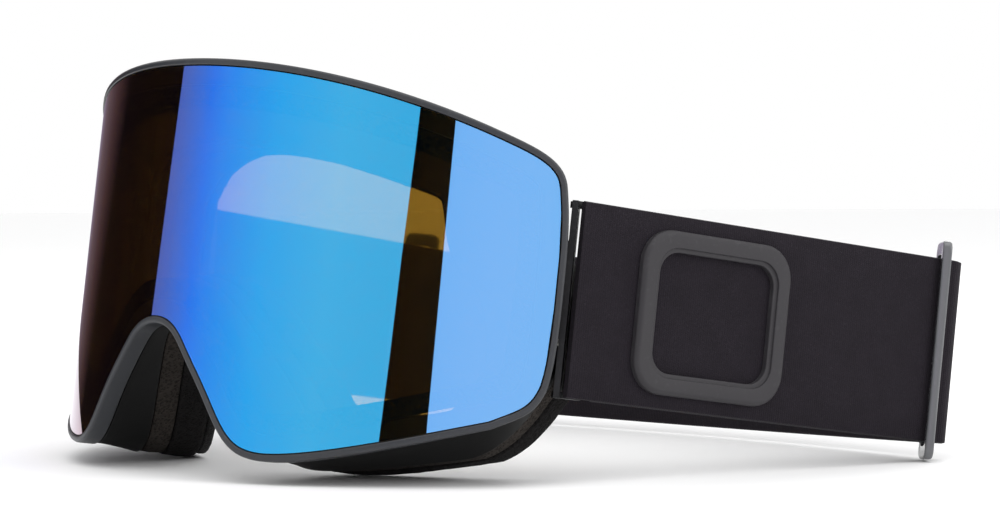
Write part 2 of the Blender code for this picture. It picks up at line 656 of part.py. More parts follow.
def make_badge(side, word, arm):
    """A moulded rubber frame that lies on the strap's outer face."""
    length, height, corner, thick = (BADGE[key] for key in ("length", "height", "corner", "thick"))
    edge, border = BADGE["edge"], BADGE["border"]
    outer = rounded_rectangle(length, height, corner)
    step = rounded_rectangle(length - 2 * edge, height - 2 * edge, corner - edge)
    inner = rounded_rectangle(length - 2 * border, height - 2 * border, corner - border)
    levels = ((outer, GAP), (outer, thick - edge), (step, thick), (inner, thick), (inner, GAP))
    loops = [[strap_point(side, BADGE["along"] + x, out, BADGE["z"] + z) for x, z in loop]
             for loop, out in levels]
    add_piece(f"strap_badge_{word}", ring_solid(loops), arm, "badge_rubber_grey")


def add_bevel(obj):
    bevel = obj.modifiers.new("edges", "BEVEL")
    bevel.width = SLIDER_EDGE * MM
    bevel.segments = 2


def make_slider(side, word, stop):
    """A flat ladder frame around the strap, tilted: an outer bar, an inner bar, and a cap at each end."""
    outer = strap_point(side, SLIDER_ALONG, OUTER_BAR_OUT, STRAP_Z)
    inner = strap_point(side, INNER_BAR_ALONG, INNER_BAR_OUT, STRAP_Z)
    across = inner - outer
    turn = Matrix.Rotation(atan2(across.y, across.x), 4, "Z")
    bar_size = (SLIDER_BAR, SLIDER_BAR, STRAP_WIDTH + SLIDER_CAP + 2 * SLIDER_CAP_GAP)
    slider = place_mesh(f"slider_{word}", box_mesh(f"slider_{word}", bar_size), stop, "slider_gloss_grey",
                        Matrix.Translation(outer * MM) @ turn)
    add_bevel(slider)
    cap_height = SLIDER_CAP - SLIDER_CAP_GAP
    cap_size = (across.length + SLIDER_BAR + SLIDER_CAP_GAP, SLIDER_BAR + GAP, cap_height)
    lift = STRAP_WIDTH / 2 + SLIDER_CAP_GAP + cap_height / 2
    middle = (outer + inner) / 2
    others = (("inner_bar", bar_size, inner), ("upper_cap", cap_size, middle + Vector((0, 0, lift))),
              ("lower_cap", cap_size, middle - Vector((0, 0, lift))))
    for label, size, place in others:
        name = f"slider_{label}_{word}"
        other = add_cutter(name, box_mesh(name, size), stop, Matrix.Translation(place * MM) @ turn)
        add_bevel(other)
        add_boolean(slider, "UNION", other)


def make_rear_strap():
    """From one slider round behind the head to the other, with a tight bend beside each slider."""
    centre = strap_point(1, INNER_BAR_ALONG, INNER_BAR_OUT)
    bend = plan_arc(centre, REAR_BEND, -STRAP_ANGLE, REAR_BEND_TURN, 8)
    end_x, end_y = bend[-1]
    rear = [(end_x * k / 8, end_y + REAR_SAG * (1 - (k / 8) ** 2)) for k in range(7, -1, -1)]
    path = bend + rear
    path += [(-x, y) for x, y in path[-2::-1]]
    ribbon("strap_rear", path, level_heights(STRAP_Z, STRAP_WIDTH, len(path)), goggles,
           "strap_knit_black", STRAP_THICKNESS)
    inwards = STRAP_THICKNESS / 2 + GAP + GRIP_THICKNESS / 2
    for k, dz in enumerate((-GRIP_SPACING, 0.0, GRIP_SPACING)):
        line = []
        for step in range(-8, 9):
            x = GRIP_REACH * step / 8
            line.append((x, end_y + REAR_SAG * (1 - (x / end_x) ** 2) - inwards))
        ribbon(f"strap_grip_{k + 1}", line, level_heights(STRAP_Z + dz, GRIP_WIDTH, len(line)), goggles,
               "silicone_clear_grey", GRIP_THICKNESS)


# ---- build ----

clear_scene()
goggles_parts = new_collection("ski_goggles")
cutters = new_collection("cutters")
materials = {name: make_material(name) for name in COLOURS}
origins = {}

rim_outline = whole_outline(RIM)
face_outline = whole_outline(FACE)

goggles = bpy.data.objects.new("goggles", None)
goggles_parts.objects.link(goggles)
origins["goggles"] = Vector((0, 0, 0))
lens_unit = new_empty("lens_unit", goggles, (0, 0, 0))

make_rim()
make_magnets()
make_lenses()
make_face_frame()
make_face_foams()
make_vent_foam()
for strap_side, side_word in ((1, "left"), (-1, "right")):
    make_anchor(strap_side, side_word)
    make_strap_side(strap_side, side_word)
make_rear_strap()

goggles.rotation_euler = (-radians(REST_PITCH), 0, 0)
stand_on_ground()
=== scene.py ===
"""Looks for the ski goggles: smooth shells, panes, foam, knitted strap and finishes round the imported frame.

Shapes are worked out in the goggles' own frame, in mm: X to the wearer's left, Y from the lens to the face,
Z up, origin on the middle of the lens front. seat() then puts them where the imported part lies.
"""

from math import atan2, cos, pi, radians, sin, tan

import bmesh
import bpy
import numpy as np
from mathutils import Matrix, Vector


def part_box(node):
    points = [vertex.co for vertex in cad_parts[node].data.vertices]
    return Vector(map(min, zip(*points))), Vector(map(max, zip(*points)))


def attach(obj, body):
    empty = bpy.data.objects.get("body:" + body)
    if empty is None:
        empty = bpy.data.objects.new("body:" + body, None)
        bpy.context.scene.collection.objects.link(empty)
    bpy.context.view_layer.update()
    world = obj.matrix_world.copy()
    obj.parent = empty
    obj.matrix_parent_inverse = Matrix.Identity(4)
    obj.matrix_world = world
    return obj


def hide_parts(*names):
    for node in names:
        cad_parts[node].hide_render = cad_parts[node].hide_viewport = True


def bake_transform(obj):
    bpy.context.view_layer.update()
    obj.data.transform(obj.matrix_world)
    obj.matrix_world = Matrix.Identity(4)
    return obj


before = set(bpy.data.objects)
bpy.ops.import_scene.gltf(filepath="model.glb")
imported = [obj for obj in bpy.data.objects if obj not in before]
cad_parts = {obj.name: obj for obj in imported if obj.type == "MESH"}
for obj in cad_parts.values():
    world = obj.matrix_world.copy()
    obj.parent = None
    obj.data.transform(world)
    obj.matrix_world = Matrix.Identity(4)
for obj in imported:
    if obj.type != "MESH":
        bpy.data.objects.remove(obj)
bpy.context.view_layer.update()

scene = bpy.context.scene
MM = 0.001

# ---- the part's own dimensions, mm and degrees ----
LEAN = 8.1
LENS_RADIUS = 103.2
RIM = dict(half_width=105.1, top=29.0, crown=11.6, shoulder=103.7, shoulder_z=4.5, side_z=-20.0,
           cheek_side=103.7, cheek_z=-41.0, cheek_in=92.0, cheek_low=-51.3, low_x=38.0, low_z=-63.7,
           flank_x=15.2, flank_z=-45.3, bridge_x=9.4, bridge_z=-38.5, bridge_top=-34.0, low_round=12.0)
FACE = dict(half_width=79.5, top=28.0, crown=11.0, shoulder=76.0, shoulder_z=-4.0, side_z=-22.0,
            cheek_side=79.6, cheek_z=-40.0, cheek_in=68.0, cheek_low=-58.7, low_x=36.0, low_z=-64.8,
            flank_x=15.6, flank_z=-45.0, bridge_x=9.6, bridge_z=-37.6, bridge_top=-33.0, low_round=11.0)
RIM_WIDTH, RIM_DEPTH, LEDGE, LEDGE_DEPTH = 1.6, 4.6, 6.0, 2.1
LENS_DEPTH, LENS_THICKNESS, LENS_GAP = 0.35, 1.4, 0.3
GASKET_INSET, GASKET_WIDTH, GASKET_DEPTH, GASKET_THICKNESS = 6.6, 4.4, 2.1, 3.0
INNER_INSET, INNER_DEPTH, INNER_THICKNESS = 6.4, 5.4, 1.2
FRAME_FRONT, FRAME_FLANGE, FRAME_WALL = 4.9, 2.0, 2.0
FLANGE_WIDTH, FLANGE_SPREAD = 11.0, 5.4
FLANGE_RISE = (-30.0, -5.0)
FRAME_REACH, BRIDGE_REACH_LOSS, BRIDGE_SPREAD, BRIDGE_Z = 18.5, 9.6, 27.0, -30.0
SIDE_THINNING, SIDE_THINNING_ENDS = 0.22, (45.0, 78.0)
FACE_TAPER = 3.5
MAGNET_DEPTH = RIM_DEPTH - 0.8
MAGNETS = [(-52.0, 21.9, -0.155), (0.0, 26.2, 0.0), (52.0, 21.9, 0.155),
           (58.0, -57.3, -0.2), (-58.0, -57.3, 0.2)]
MAGNET_POCKET = (9.6, 3.3, 3.8)
VENTS = [(s, 26.0 - 0.0012 * s * s) for s in (-50, -30, -10, 10, 30, 50)]
STRAP_WIDTH, STRAP_THICKNESS, STRAP_Z, STRAP_ANGLE = 45.0, 1.6, -20.1, 7.85
STRAP_START = Vector((86.8, 50.0))
ARM_START, BAR_ALONG, TAB_WIDTH, TAB_THICKNESS, TAB_END, TAB_BEND = 3.6, 8.9, 41.4, 1.0, 14.0, 2.15
BAR_OUT = -(STRAP_THICKNESS + 0.3 + TAB_THICKNESS / 2 + TAB_BEND)
SLIDER_ALONG, SLIDER_BAR, SLIDER_CAP, SLIDER_TILT = 110.0, 2.2, 4.2, 31.0
SLIDER_LOOP = SLIDER_BAR / 2 + 0.4 + STRAP_THICKNESS / 2
REAR_BEND = SLIDER_LOOP + STRAP_THICKNESS + 0.3
OUTER_BAR_OUT = 0.3 + SLIDER_BAR / 2
INNER_BAR_OUT = -(REAR_BEND + STRAP_THICKNESS / 2)
INNER_BAR_ALONG = SLIDER_ALONG + (OUTER_BAR_OUT - INNER_BAR_OUT) * tan(radians(SLIDER_TILT))
REAR_TURN, REAR_SAG = 84.0, 10.0
GRIP_REACH, GRIP_WIDTH, GRIP_THICKNESS, GRIP_SPACING = 78.0, 3.0, 0.6, 14.0
BADGE_ALONG, BADGE_Z = 41.5, -20.3

low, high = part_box("lens_magnet_2")
turn = Matrix.Rotation(radians(-LEAN), 4, "X")
magnet = turn @ (Vector((0.0, MAGNET_DEPTH, MAGNETS[1][1])) * MM)
SEAT = Matrix.Translation((low + high) / 2 - magnet) @ turn @ Matrix.Scale(MM, 4)


def seat(point):
    """A place of the goggles' own frame, in mm, as a place in the scene, in metres."""
    return SEAT @ Vector(point)


# ---- outlines ----

def cubic(start, start_handle, end_handle, end, steps=24):
    t = np.linspace(0, 1, steps, endpoint=False)[:, None]
    a, b, c, d = (np.array(p, float) for p in (start, start_handle, end_handle, end))
    return a * (1 - t) ** 3 + 3 * b * t * (1 - t) ** 2 + 3 * c * t * t * (1 - t) + d * t ** 3


def half_outline(d):
    """Right half of a goggles outline, from the top middle round to the nose bridge."""
    crown_x, crown_z, slope = 0.84 * d["half_width"], d["top"] - 1.17 * d["crown"], 0.345
    reach = 0.55 * (d["shoulder"] - crown_x)
    drop = 0.55 * (crown_z - d["shoulder_z"])
    cheek = 0.55 * (d["cheek_side"] - d["cheek_in"])
    run = (d["cheek_in"] - d["low_x"]) / 3
    top, crown = (0, d["top"]), (crown_x, crown_z)
    shoulder, side = (d["shoulder"], d["shoulder_z"]), (d["half_width"], d["side_z"])
    cheek_side, cheek_in = (d["cheek_side"], d["cheek_z"]), (d["cheek_in"], d["cheek_low"])
    low, flank = (d["low_x"], d["low_z"]), (d["flank_x"], d["flank_z"])
    bridge, arch = (d["bridge_x"], d["bridge_z"]), (0, d["bridge_top"])
    return np.vstack([
        cubic(top, (0.36 * crown_x, top[1]), (0.68 * crown_x, crown_z + 0.32 * crown_x * slope), crown),
        cubic(crown, (crown_x + reach, crown_z - reach * slope),
              (shoulder[0] - 0.17 * drop, shoulder[1] + drop), shoulder),
        cubic(shoulder, (shoulder[0] + 1.6, shoulder[1] - 9), (side[0], side[1] + 9), side),
        cubic(side, (side[0], side[1] - 6), (cheek_side[0] + 1.3, cheek_side[1] + 5.5), cheek_side),
        cubic(cheek_side, (cheek_side[0] - 0.35 * cheek, cheek_side[1] - cheek),
              (cheek_in[0] + cheek, cheek_in[1] + 0.52 * cheek), cheek_in),
        cubic(cheek_in, (cheek_in[0] - run, cheek_in[1] - 0.3 * run), (low[0] + 0.7 * run, low[1]), low),
        cubic(low, (low[0] - d["low_round"], low[1] + 0.2),
              (flank[0] + 0.8 * d["low_round"], flank[1] - 0.92 * d["low_round"]), flank),
        cubic(flank, (flank[0] - 2, flank[1] + 2.3), (bridge[0] + 2, bridge[1] - 2.3), bridge, 8),
        cubic(bridge, (bridge[0] - 2.7, bridge[1] + 3.1), (3.9, arch[1]), arch),
        [arch]])


def along_line(line, count, closed=False):
    """The same line with its points evenly spaced."""
    if closed:
        line = np.vstack([line, line[:1]])
    run = np.concatenate([[0], np.cumsum(np.linalg.norm(np.diff(line, axis=0), axis=1))])
    places = np.linspace(0, run[-1], count, endpoint=not closed)
    return np.stack([np.interp(places, run, line[:, k]) for k in range(line.shape[1])], axis=1)


def whole_outline(d, count):
    half = half_outline(d)
    other = half[-2:0:-1] * (-1, 1)
    return along_line(np.vstack([half, other]), count, closed=True)


def inset(outline, width):
    """The outline moved inwards, with folds at tight corners eased out."""
    ahead = np.roll(outline, -1, 0) - np.roll(outline, 1, 0)
    ahead /= np.linalg.norm(ahead, axis=1)[:, None]
    moved = outline + np.reshape(width, (-1, 1)) * np.stack([ahead[:, 1], -ahead[:, 0]], axis=1)
    run = np.roll(outline, -1, 0) - outline
    for _ in range(200):
        folded = ((np.roll(moved, -1, 0) - moved) * run).sum(1) < 0.15 * (run * run).sum(1)
        if not folded.any():
            break
        near = folded | np.roll(folded, 1) | np.roll(folded, 2) | np.roll(folded, -1)
        eased = (np.roll(moved, 1, 0) + np.roll(moved, -1, 0)) / 2
        moved = np.where(near[:, None], (moved + eased) / 2, moved)
    return moved


def step_up(value, low, high):
    t = np.clip((value - low) / (high - low), 0, 1)
    return t * t * (3 - 2 * t)


def on_curve(s, z, depth):
    """Places on the lens curve: s along it, z up, depth towards its axis."""
    radius = LENS_RADIUS - depth
    s, z = np.broadcast_arrays(np.asarray(s, float), np.asarray(z, float))
    angle = s / LENS_RADIUS
    return np.stack([radius * np.sin(angle), LENS_RADIUS - radius * np.cos(angle), z], axis=-1)


RIM_LINE = whole_outline(RIM, 520)
FACE_LINE = whole_outline(FACE, 520)
SOFT_LINE = whole_outline(FACE, 300)
FLANGE = FLANGE_WIDTH + FLANGE_SPREAD * step_up(FACE_LINE[:, 1], *FLANGE_RISE)
SOFT_FLANGE = FLANGE_WIDTH + FLANGE_SPREAD * step_up(SOFT_LINE[:, 1], *FLANGE_RISE)


def front_loop(width, depth):
    line = inset(RIM_LINE, width)
    return on_curve(line[:, 0], line[:, 1], depth)


def face_loop(width, behind, line=FACE_LINE, taper=0.0):
    """A loop on the face side, inset by a width, at a distance behind the face frame."""
    x, z = inset(line, width).T
    near_bridge = np.exp(-(x * x + (z - BRIDGE_Z) ** 2) / BRIDGE_SPREAD ** 2)
    reach = FRAME_REACH - BRIDGE_REACH_LOSS * near_bridge
    back = LENS_RADIUS - np.sqrt(LENS_RADIUS ** 2 - x * x) + reach
    thinner = 1 - SIDE_THINNING * step_up(np.abs(x), *SIDE_THINNING_ENDS)
    return np.stack([x * (1 - taper * behind / 1000), back + behind * thinner, z], axis=1)


# ---- making pieces ----

def piece(name, points, faces, finish, body=None, stands_for=(), slot=None, lay=None, tones=None, smooth=40):
    """A mesh from places in the goggles' own frame, with its finish, its body and what it replaces."""
    mesh = bpy.data.meshes.new(name)
    mesh.from_pydata([seat(p) for p in points], [], [tuple(int(i) for i in f) for f in faces])
    shape = bmesh.new()
    shape.from_mesh(mesh)
    bmesh.ops.recalc_face_normals(shape, faces=shape.faces)
    shape.to_mesh(mesh)
    shape.free()
    finishes = finish if isinstance(finish, (list, tuple)) else [finish]
    for item in finishes:
        mesh.materials.append(item)
    if tones is not None:
        mesh.polygons.foreach_set("material_index", tones)
    if lay is not None:
        lie = mesh.attributes.new("lay", "FLOAT_VECTOR", "POINT")
        lie.data.foreach_set("vector", np.asarray(lay, np.float32).ravel())
    mesh.shade_smooth()
    mesh.set_sharp_from_angle(angle=radians(smooth))
    obj = bpy.data.objects.new(name, mesh)
    scene.collection.objects.link(obj)
    if body:
        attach(obj, body)
    if stands_for:
        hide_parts(*stands_for)
    return obj


def eased_loops(corners, steps=5):
    """Loops of a ring's section: (loop, radius) at each corner, rounded off between its neighbours."""
    loops = []
    for k, (corner, radius) in enumerate(corners):
        if not radius:
            loops.append(corner)
            continue
        ends = []
        for other in (corners[k - 1][0], corners[(k + 1) % len(corners)][0]):
            away = other - corner
            length = np.linalg.norm(away, axis=1)[:, None]
            ends.append(corner + away / length * np.minimum(radius, 0.48 * length))
        for t in np.linspace(0, 1, steps):
            loops.append(ends[0] * (1 - t) ** 2 + 2 * corner * t * (1 - t) + ends[1] * t * t)
    return loops


def ring_faces(rows, count, closed=True):
    """Quads between loops of the same count; the last loop joins the first when closed."""
    faces = []
    for a in range(rows if closed else rows - 1):
        b = (a + 1) % rows
        for i in range(count):
            j = (i + 1) % count
            faces.append((a * count + i, a * count + j, b * count + j, b * count + i))
    return faces


def ring(name, corners, finish, steps=5, **more):
    """A closed ring whose section runs through rounded corners."""
    loops = eased_loops(corners, steps)
    return piece(name, np.vstack(loops), ring_faces(len(loops), len(loops[0])), finish, **more)


def bar(name, sections, finish, **more):
    """A bar with closed ends through sections of the same count."""
    count = len(sections[0])
    last = (len(sections) - 1) * count
    faces = ring_faces(len(sections), count, closed=False)
    faces += [tuple(range(count)), tuple(last + i for i in range(count))]
    return piece(name, np.vstack(sections), faces, finish, **more)


def rounded_box(size, radius, place, steps=3):
    """A cutter with rounded upright edges: size along local X, Y, Z, rounded in the X-Z plane."""
    shape = bmesh.new()
    bmesh.ops.create_cube(shape, size=1.0)
    for v in shape.verts:
        v.co = Vector([v.co[k] * size[k] for k in range(3)])
    edges = [e for e in shape.edges if abs((e.verts[0].co - e.verts[1].co).y) > 1e-6]
    bmesh.ops.bevel(shape, geom=edges, offset=radius, segments=steps, affect="EDGES", profile=0.5)
    shape.transform(SEAT @ place)
    return shape


def cut(obj, shapes):
    """Cuts every shape out of a piece, and leaves its mesh final."""
    joined = bmesh.new()
    for shape in shapes:
        step = bpy.data.meshes.new("step")
        shape.to_mesh(step)
        shape.free()
        joined.from_mesh(step)
        bpy.data.meshes.remove(step)
    bmesh.ops.recalc_face_normals(joined, faces=joined.faces)
    mesh = bpy.data.meshes.new("cutter")
    joined.to_mesh(mesh)
    joined.free()
    cutter = bpy.data.objects.new("cutter", mesh)
    scene.collection.objects.link(cutter)
    hollow = obj.modifiers.new("hollow", "BOOLEAN")
    hollow.operation = "DIFFERENCE"
    hollow.solver = "EXACT"
    hollow.object = cutter
    bpy.context.view_layer.update()
    graph = bpy.context.evaluated_depsgraph_get()
    made = bpy.data.meshes.new_from_object(obj.evaluated_get(graph))
    obj.modifiers.remove(hollow)
    obj.data = made
    made.shade_smooth()
    made.set_sharp_from_angle(angle=radians(34))
    bpy.data.objects.remove(cutter)


def on_lens(s, z, depth, tilt=0.0):
    radius = LENS_RADIUS - depth
    angle = s / LENS_RADIUS
    place = Matrix.Translation((radius * sin(angle), LENS_RADIUS - radius * cos(angle), z))
    return place @ Matrix.Rotation(angle, 4, "Z") @ Matrix.Rotation(tilt, 4, "Y")


def swell(obj, pressure, most):
    """Lets foam fill out sideways from inside, no further than most mm, and keeps its glued faces flat."""
    mesh = obj.data
    rest = np.empty(len(mesh.vertices) * 3, np.float32)
    mesh.vertices.foreach_get("co", rest)
    cloth = obj.modifiers.new("swell", "CLOTH")
    settings = cloth.settings
    settings.quality = 5
    settings.mass = 0.05
    settings.tension_stiffness = settings.compression_stiffness = 12
    settings.shear_stiffness = 4
    settings.bending_stiffness = 0.4
    settings.use_pressure = True
    settings.uniform_pressure_force = pressure
    settings.effector_weights.gravity = 0
    cloth.point_cache.frame_start, cloth.point_cache.frame_end = 1, 14
    for number in range(1, 15):
        scene.frame_set(number)
    graph = bpy.context.evaluated_depsgraph_get()
    swollen = np.empty_like(rest)
    obj.evaluated_get(graph).data.vertices.foreach_get("co", swollen)
    obj.modifiers.remove(cloth)
    scene.frame_set(1)
    upright = np.array(SEAT.to_3x3(), float) / MM
    moved = ((swollen - rest).reshape(-1, 3) @ upright) * (1, 0, 1)
    length = np.linalg.norm(moved, axis=1)[:, None]
    moved *= np.minimum(1, most * MM / np.maximum(length, 1e-9))
    rest = rest.reshape(-1, 3) + moved @ upright.T
    mesh.vertices.foreach_set("co", rest.astype(np.float32).ravel())
    mesh.update()


# ---- finishes ----

def put(tree, kind, inputs=None, **settings):
    """A node with its settings; an input is a plain value or the socket that feeds it."""
    made = tree.nodes.new(kind)
    for key, value in settings.items():
        setattr(made, key, value)
    for key, value in (inputs or {}).items():
        if isinstance(value, bpy.types.NodeSocket):
            tree.links.new(value, made.inputs[key])
        else:
            made.inputs[key].default_value = value
    return made


def between(tree, mask, dark, light):
    """The colour between two tones at a mask."""
    mix = put(tree, "ShaderNodeMix", data_type="RGBA")
    for socket, value in ((mix.inputs[0], mask), (mix.inputs[6], dark), (mix.inputs[7], light)):
        if isinstance(value, bpy.types.NodeSocket):
            tree.links.new(value, socket)
        else:
            socket.default_value = (*value, 1.0) if isinstance(value, tuple) else value
    return mix.outputs[2]


def ranged(tree, value, from_low, from_high, to_low, to_high):
    limits = {0: value, 1: from_low, 2: from_high, 3: to_low, 4: to_high}
    return put(tree, "ShaderNodeMapRange", limits).outputs[0]


def sums(tree, operation, first, second):
    return put(tree, "ShaderNodeMath", {0: first, 1: second}, operation=operation).outputs[0]


def new_group(name, inputs, outputs):
    """A node group with named float inputs and outputs: (tree, its input node, its output node)."""
    tree = bpy.data.node_groups.new(name, "ShaderNodeTree")
    for label, value in inputs.items():
        tree.interface.new_socket(label, in_out="INPUT", socket_type="NodeSocketFloat").default_value = value
    for label in outputs:
        tree.interface.new_socket(label, in_out="OUTPUT", socket_type="NodeSocketFloat")
    return tree, tree.nodes.new("NodeGroupInput"), tree.nodes.new("NodeGroupOutput")


def make_grain():
    """Fine moulded grain, with a broad uneven tone."""
    tree, given, out = new_group("moulded_grain", {"Scale": 3000.0}, ("Height", "Tone"))
    place = tree.nodes.new("ShaderNodeTexCoord").outputs["Object"]
    fine = put(tree, "ShaderNodeTexNoise", {"Vector": place, "Scale": given.outputs["Scale"], "Detail": 3.0})
    broad = put(tree, "ShaderNodeTexNoise", {"Vector": place, "Scale": 38.0, "Detail": 4.0})
    tree.links.new(fine.outputs["Fac"], out.inputs["Height"])
    tree.links.new(broad.outputs["Fac"], out.inputs["Tone"])
    return tree


def make_wear():
    """Where handling has polished the edges."""
    tree, given, out = new_group("edge_wear", {"Low": 0.52, "High": 0.62}, ("Mask",))
    point = tree.nodes.new("ShaderNodeNewGeometry").outputs["Pointiness"]
    place = tree.nodes.new("ShaderNodeTexCoord").outputs["Object"]
    patchy = put(tree, "ShaderNodeTexNoise", {"Vector": place, "Scale": 160.0, "Detail": 3.0})
    edge = ranged(tree, point, given.outputs["Low"], given.outputs["High"], 0.0, 1.0)
    mask = sums(tree, "MULTIPLY", edge, ranged(tree, patchy.outputs["Fac"], 0.35, 0.7, 0.2, 1.0))
    tree.links.new(mask, out.inputs["Mask"])
    return tree


def make_dust():
    """Thin dust and lint, thickest where a surface faces up."""
    tree, given, out = new_group("settled_dust", {"Scale": 900.0}, ("Mask",))
    normal = tree.nodes.new("ShaderNodeNewGeometry").outputs["Normal"]
    up = put(tree, "ShaderNodeSeparateXYZ", {0: normal}).outputs["Z"]
    place = tree.nodes.new("ShaderNodeTexCoord").outputs["Object"]
    specks = put(tree, "ShaderNodeTexNoise",
                 {"Vector": place, "Scale": given.outputs["Scale"], "Detail": 2.0})
    lies = ranged(tree, up, -0.2, 1.0, 0.15, 1.0)
    mask = sums(tree, "MULTIPLY", lies, ranged(tree, specks.outputs["Fac"], 0.58, 0.74, 0.0, 1.0))
    tree.links.new(mask, out.inputs["Mask"])
    return tree


def make_cells():
    """Open cells of foam: the height of pits and walls, and a tone that is painted shade, darker in the pits,
    times a broad random tone.
    """
    tree, given, out = new_group("foam_cells_and_painted_pit_shade", {"Scale": 1500.0}, ("Height", "Tone"))
    place = tree.nodes.new("ShaderNodeTexCoord").outputs["Object"]
    pores = put(tree, "ShaderNodeTexVoronoi", {"Vector": place, "Scale": given.outputs["Scale"]})
    larger = sums(tree, "MULTIPLY", given.outputs["Scale"], 0.42)
    holes = put(tree, "ShaderNodeTexVoronoi", {"Vector": place, "Scale": larger})
    broad = put(tree, "ShaderNodeTexNoise", {"Vector": place, "Scale": 90.0, "Detail": 5.0})
    depth = sums(tree, "MINIMUM", ranged(tree, pores.outputs["Distance"], 0.0, 0.55, 0.0, 1.0),
                 ranged(tree, holes.outputs["Distance"], 0.0, 0.35, 0.0, 1.0))
    tree.links.new(depth, out.inputs["Height"])
    # painted shade: the colour is darkest where the bump is lowest, in the pits, times a broad random tone
    tone = sums(tree, "MULTIPLY", depth, ranged(tree, broad.outputs["Fac"], 0.3, 0.7, 0.6, 1.0))
    tree.links.new(tone, out.inputs["Tone"])
    return tree


def make_knit():
    """Knitted elastic: fine staggered ribs of yarn, laid by the strap's own length and width in mm. Its tone
    is painted shade, darker where the fine fuzz lowers the bump, times a broad random tone.
    """
    tree, given, out = new_group("knitted_yarn_and_painted_shade", {"Pitch": 0.62}, ("Height", "Tone"))
    lay = put(tree, "ShaderNodeAttribute", attribute_name="lay").outputs["Vector"]
    part = put(tree, "ShaderNodeSeparateXYZ", {0: lay})
    wobble = put(tree, "ShaderNodeTexNoise", {"Vector": lay, "Scale": 1.3, "Detail": 2.0}).outputs["Fac"]
    run = sums(tree, "ADD", part.outputs["X"], sums(tree, "MULTIPLY", wobble, 0.35))
    rib = sums(tree, "DIVIDE", run, given.outputs["Pitch"])
    row = sums(tree, "DIVIDE", part.outputs["Y"], sums(tree, "MULTIPLY", given.outputs["Pitch"], 0.72))
    across = sums(tree, "SINE", sums(tree, "MULTIPLY", rib, 2 * pi), 0.0)
    offset = sums(tree, "MULTIPLY", sums(tree, "FLOOR", rib, 0.0), 0.5)
    up = sums(tree, "SINE", sums(tree, "MULTIPLY", sums(tree, "ADD", row, offset), 2 * pi), 0.0)
    stitch = sums(tree, "ADD", sums(tree, "MULTIPLY", across, 0.3), sums(tree, "MULTIPLY", up, 0.2))
    fuzz = put(tree, "ShaderNodeTexNoise", {"Vector": lay, "Scale": 5.5, "Detail": 3.0}).outputs["Fac"]
    height = sums(tree, "ADD", sums(tree, "ADD", stitch, 0.5), sums(tree, "MULTIPLY", fuzz, 0.5))
    tree.links.new(height, out.inputs["Height"])
    broad = put(tree, "ShaderNodeTexNoise", {"Vector": lay, "Scale": 0.16, "Detail": 5.0}).outputs["Fac"]
    # painted shade: the colour follows the fuzz, darker where it lowers the bump, times a broad random tone
    tone = sums(tree, "MULTIPLY", ranged(tree, fuzz, 0.25, 0.75, 0.0, 1.0),
                ranged(tree, broad, 0.3, 0.7, 0.65, 1.0))
    tree.links.new(tone, out.inputs["Tone"])
    return tree


GRAIN, WEAR, DUST, CELLS, KNIT = make_grain(), make_wear(), make_dust(), make_cells(), make_knit()


def group_in(tree, group, **inputs):
    made = put(tree, "ShaderNodeGroup", node_tree=group)
    for key, value in inputs.items():
        made.inputs[key].default_value = value
    return made.outputs


def new_finish(name, **plain):
    """A material with its Principled shader; the plain values go on its own sockets."""
    material = bpy.data.materials.new(name)
    material.use_nodes = True
    shader = material.node_tree.nodes["Principled BSDF"]
    for key, value in plain.items():
        shader.inputs[key.replace("_", " ")].default_value = value
    return material, material.node_tree, shader


def bumped(tree, shader, height, strength, depth_mm):
    bump = put(tree, "ShaderNodeBump", {"Height": height, "Strength": strength, "Distance": depth_mm * MM})
    tree.links.new(bump.outputs["Normal"], shader.inputs["Normal"])


def moulded(name, dark, light, worn, rough, grain=3000.0, depth=0.02, dusty=0.12, **plain):
    """Moulded plastic or rubber: grained, a little worn at its edges, a little dusty."""
    material, tree, shader = new_finish(name, **plain)
    texture = group_in(tree, GRAIN, Scale=grain)
    body = between(tree, texture["Tone"], dark, light)
    edged = between(tree, group_in(tree, WEAR)["Mask"], body, worn)
    dust = sums(tree, "MULTIPLY", group_in(tree, DUST)["Mask"], dusty)
    tree.links.new(between(tree, dust, edged, (0.22, 0.22, 0.23)), shader.inputs["Base Color"])
    uneven = ranged(tree, texture["Tone"], 0.3, 0.7, rough - 0.05, rough + 0.06)
    tree.links.new(sums(tree, "ADD", uneven, sums(tree, "MULTIPLY", dust, 0.6)), shader.inputs["Roughness"])
    bumped(tree, shader, texture["Height"], 0.5, depth)
    return material


def foamed(name, dark, light, cells, depth, dusty=0.15, **plain):
    material, tree, shader = new_finish(name, **plain)
    texture = group_in(tree, CELLS, Scale=cells)
    # painted shade in the pits of the cells, over a broad random tone
    body = between(tree, texture["Tone"], dark, light)
    dust = sums(tree, "MULTIPLY", group_in(tree, DUST, Scale=1400.0)["Mask"], dusty)
    tree.links.new(between(tree, dust, body, (0.25, 0.24, 0.23)), shader.inputs["Base Color"])
    tree.links.new(ranged(tree, texture["Height"], 0.0, 1.0, 1.0, 0.85), shader.inputs["Roughness"])
    bumped(tree, shader, texture["Height"], 0.9, depth)
    return material


def knitted(name, dark, light, pitch, **plain):
    material, tree, shader = new_finish(name, **plain)
    texture = group_in(tree, KNIT, Pitch=pitch)
    # painted shade where the yarn's fuzz is low, over a broad random tone
    body = between(tree, texture["Tone"], dark, light)
    lint = sums(tree, "MULTIPLY", group_in(tree, DUST, Scale=2200.0)["Mask"], 0.1)
    tree.links.new(between(tree, lint, body, (0.2, 0.19, 0.21)), shader.inputs["Base Color"])
    tree.links.new(ranged(tree, texture["Height"], 0.0, 1.0, 0.98, 0.8), shader.inputs["Roughness"])
    bumped(tree, shader, texture["Height"], 0.8, 0.09)
    return material


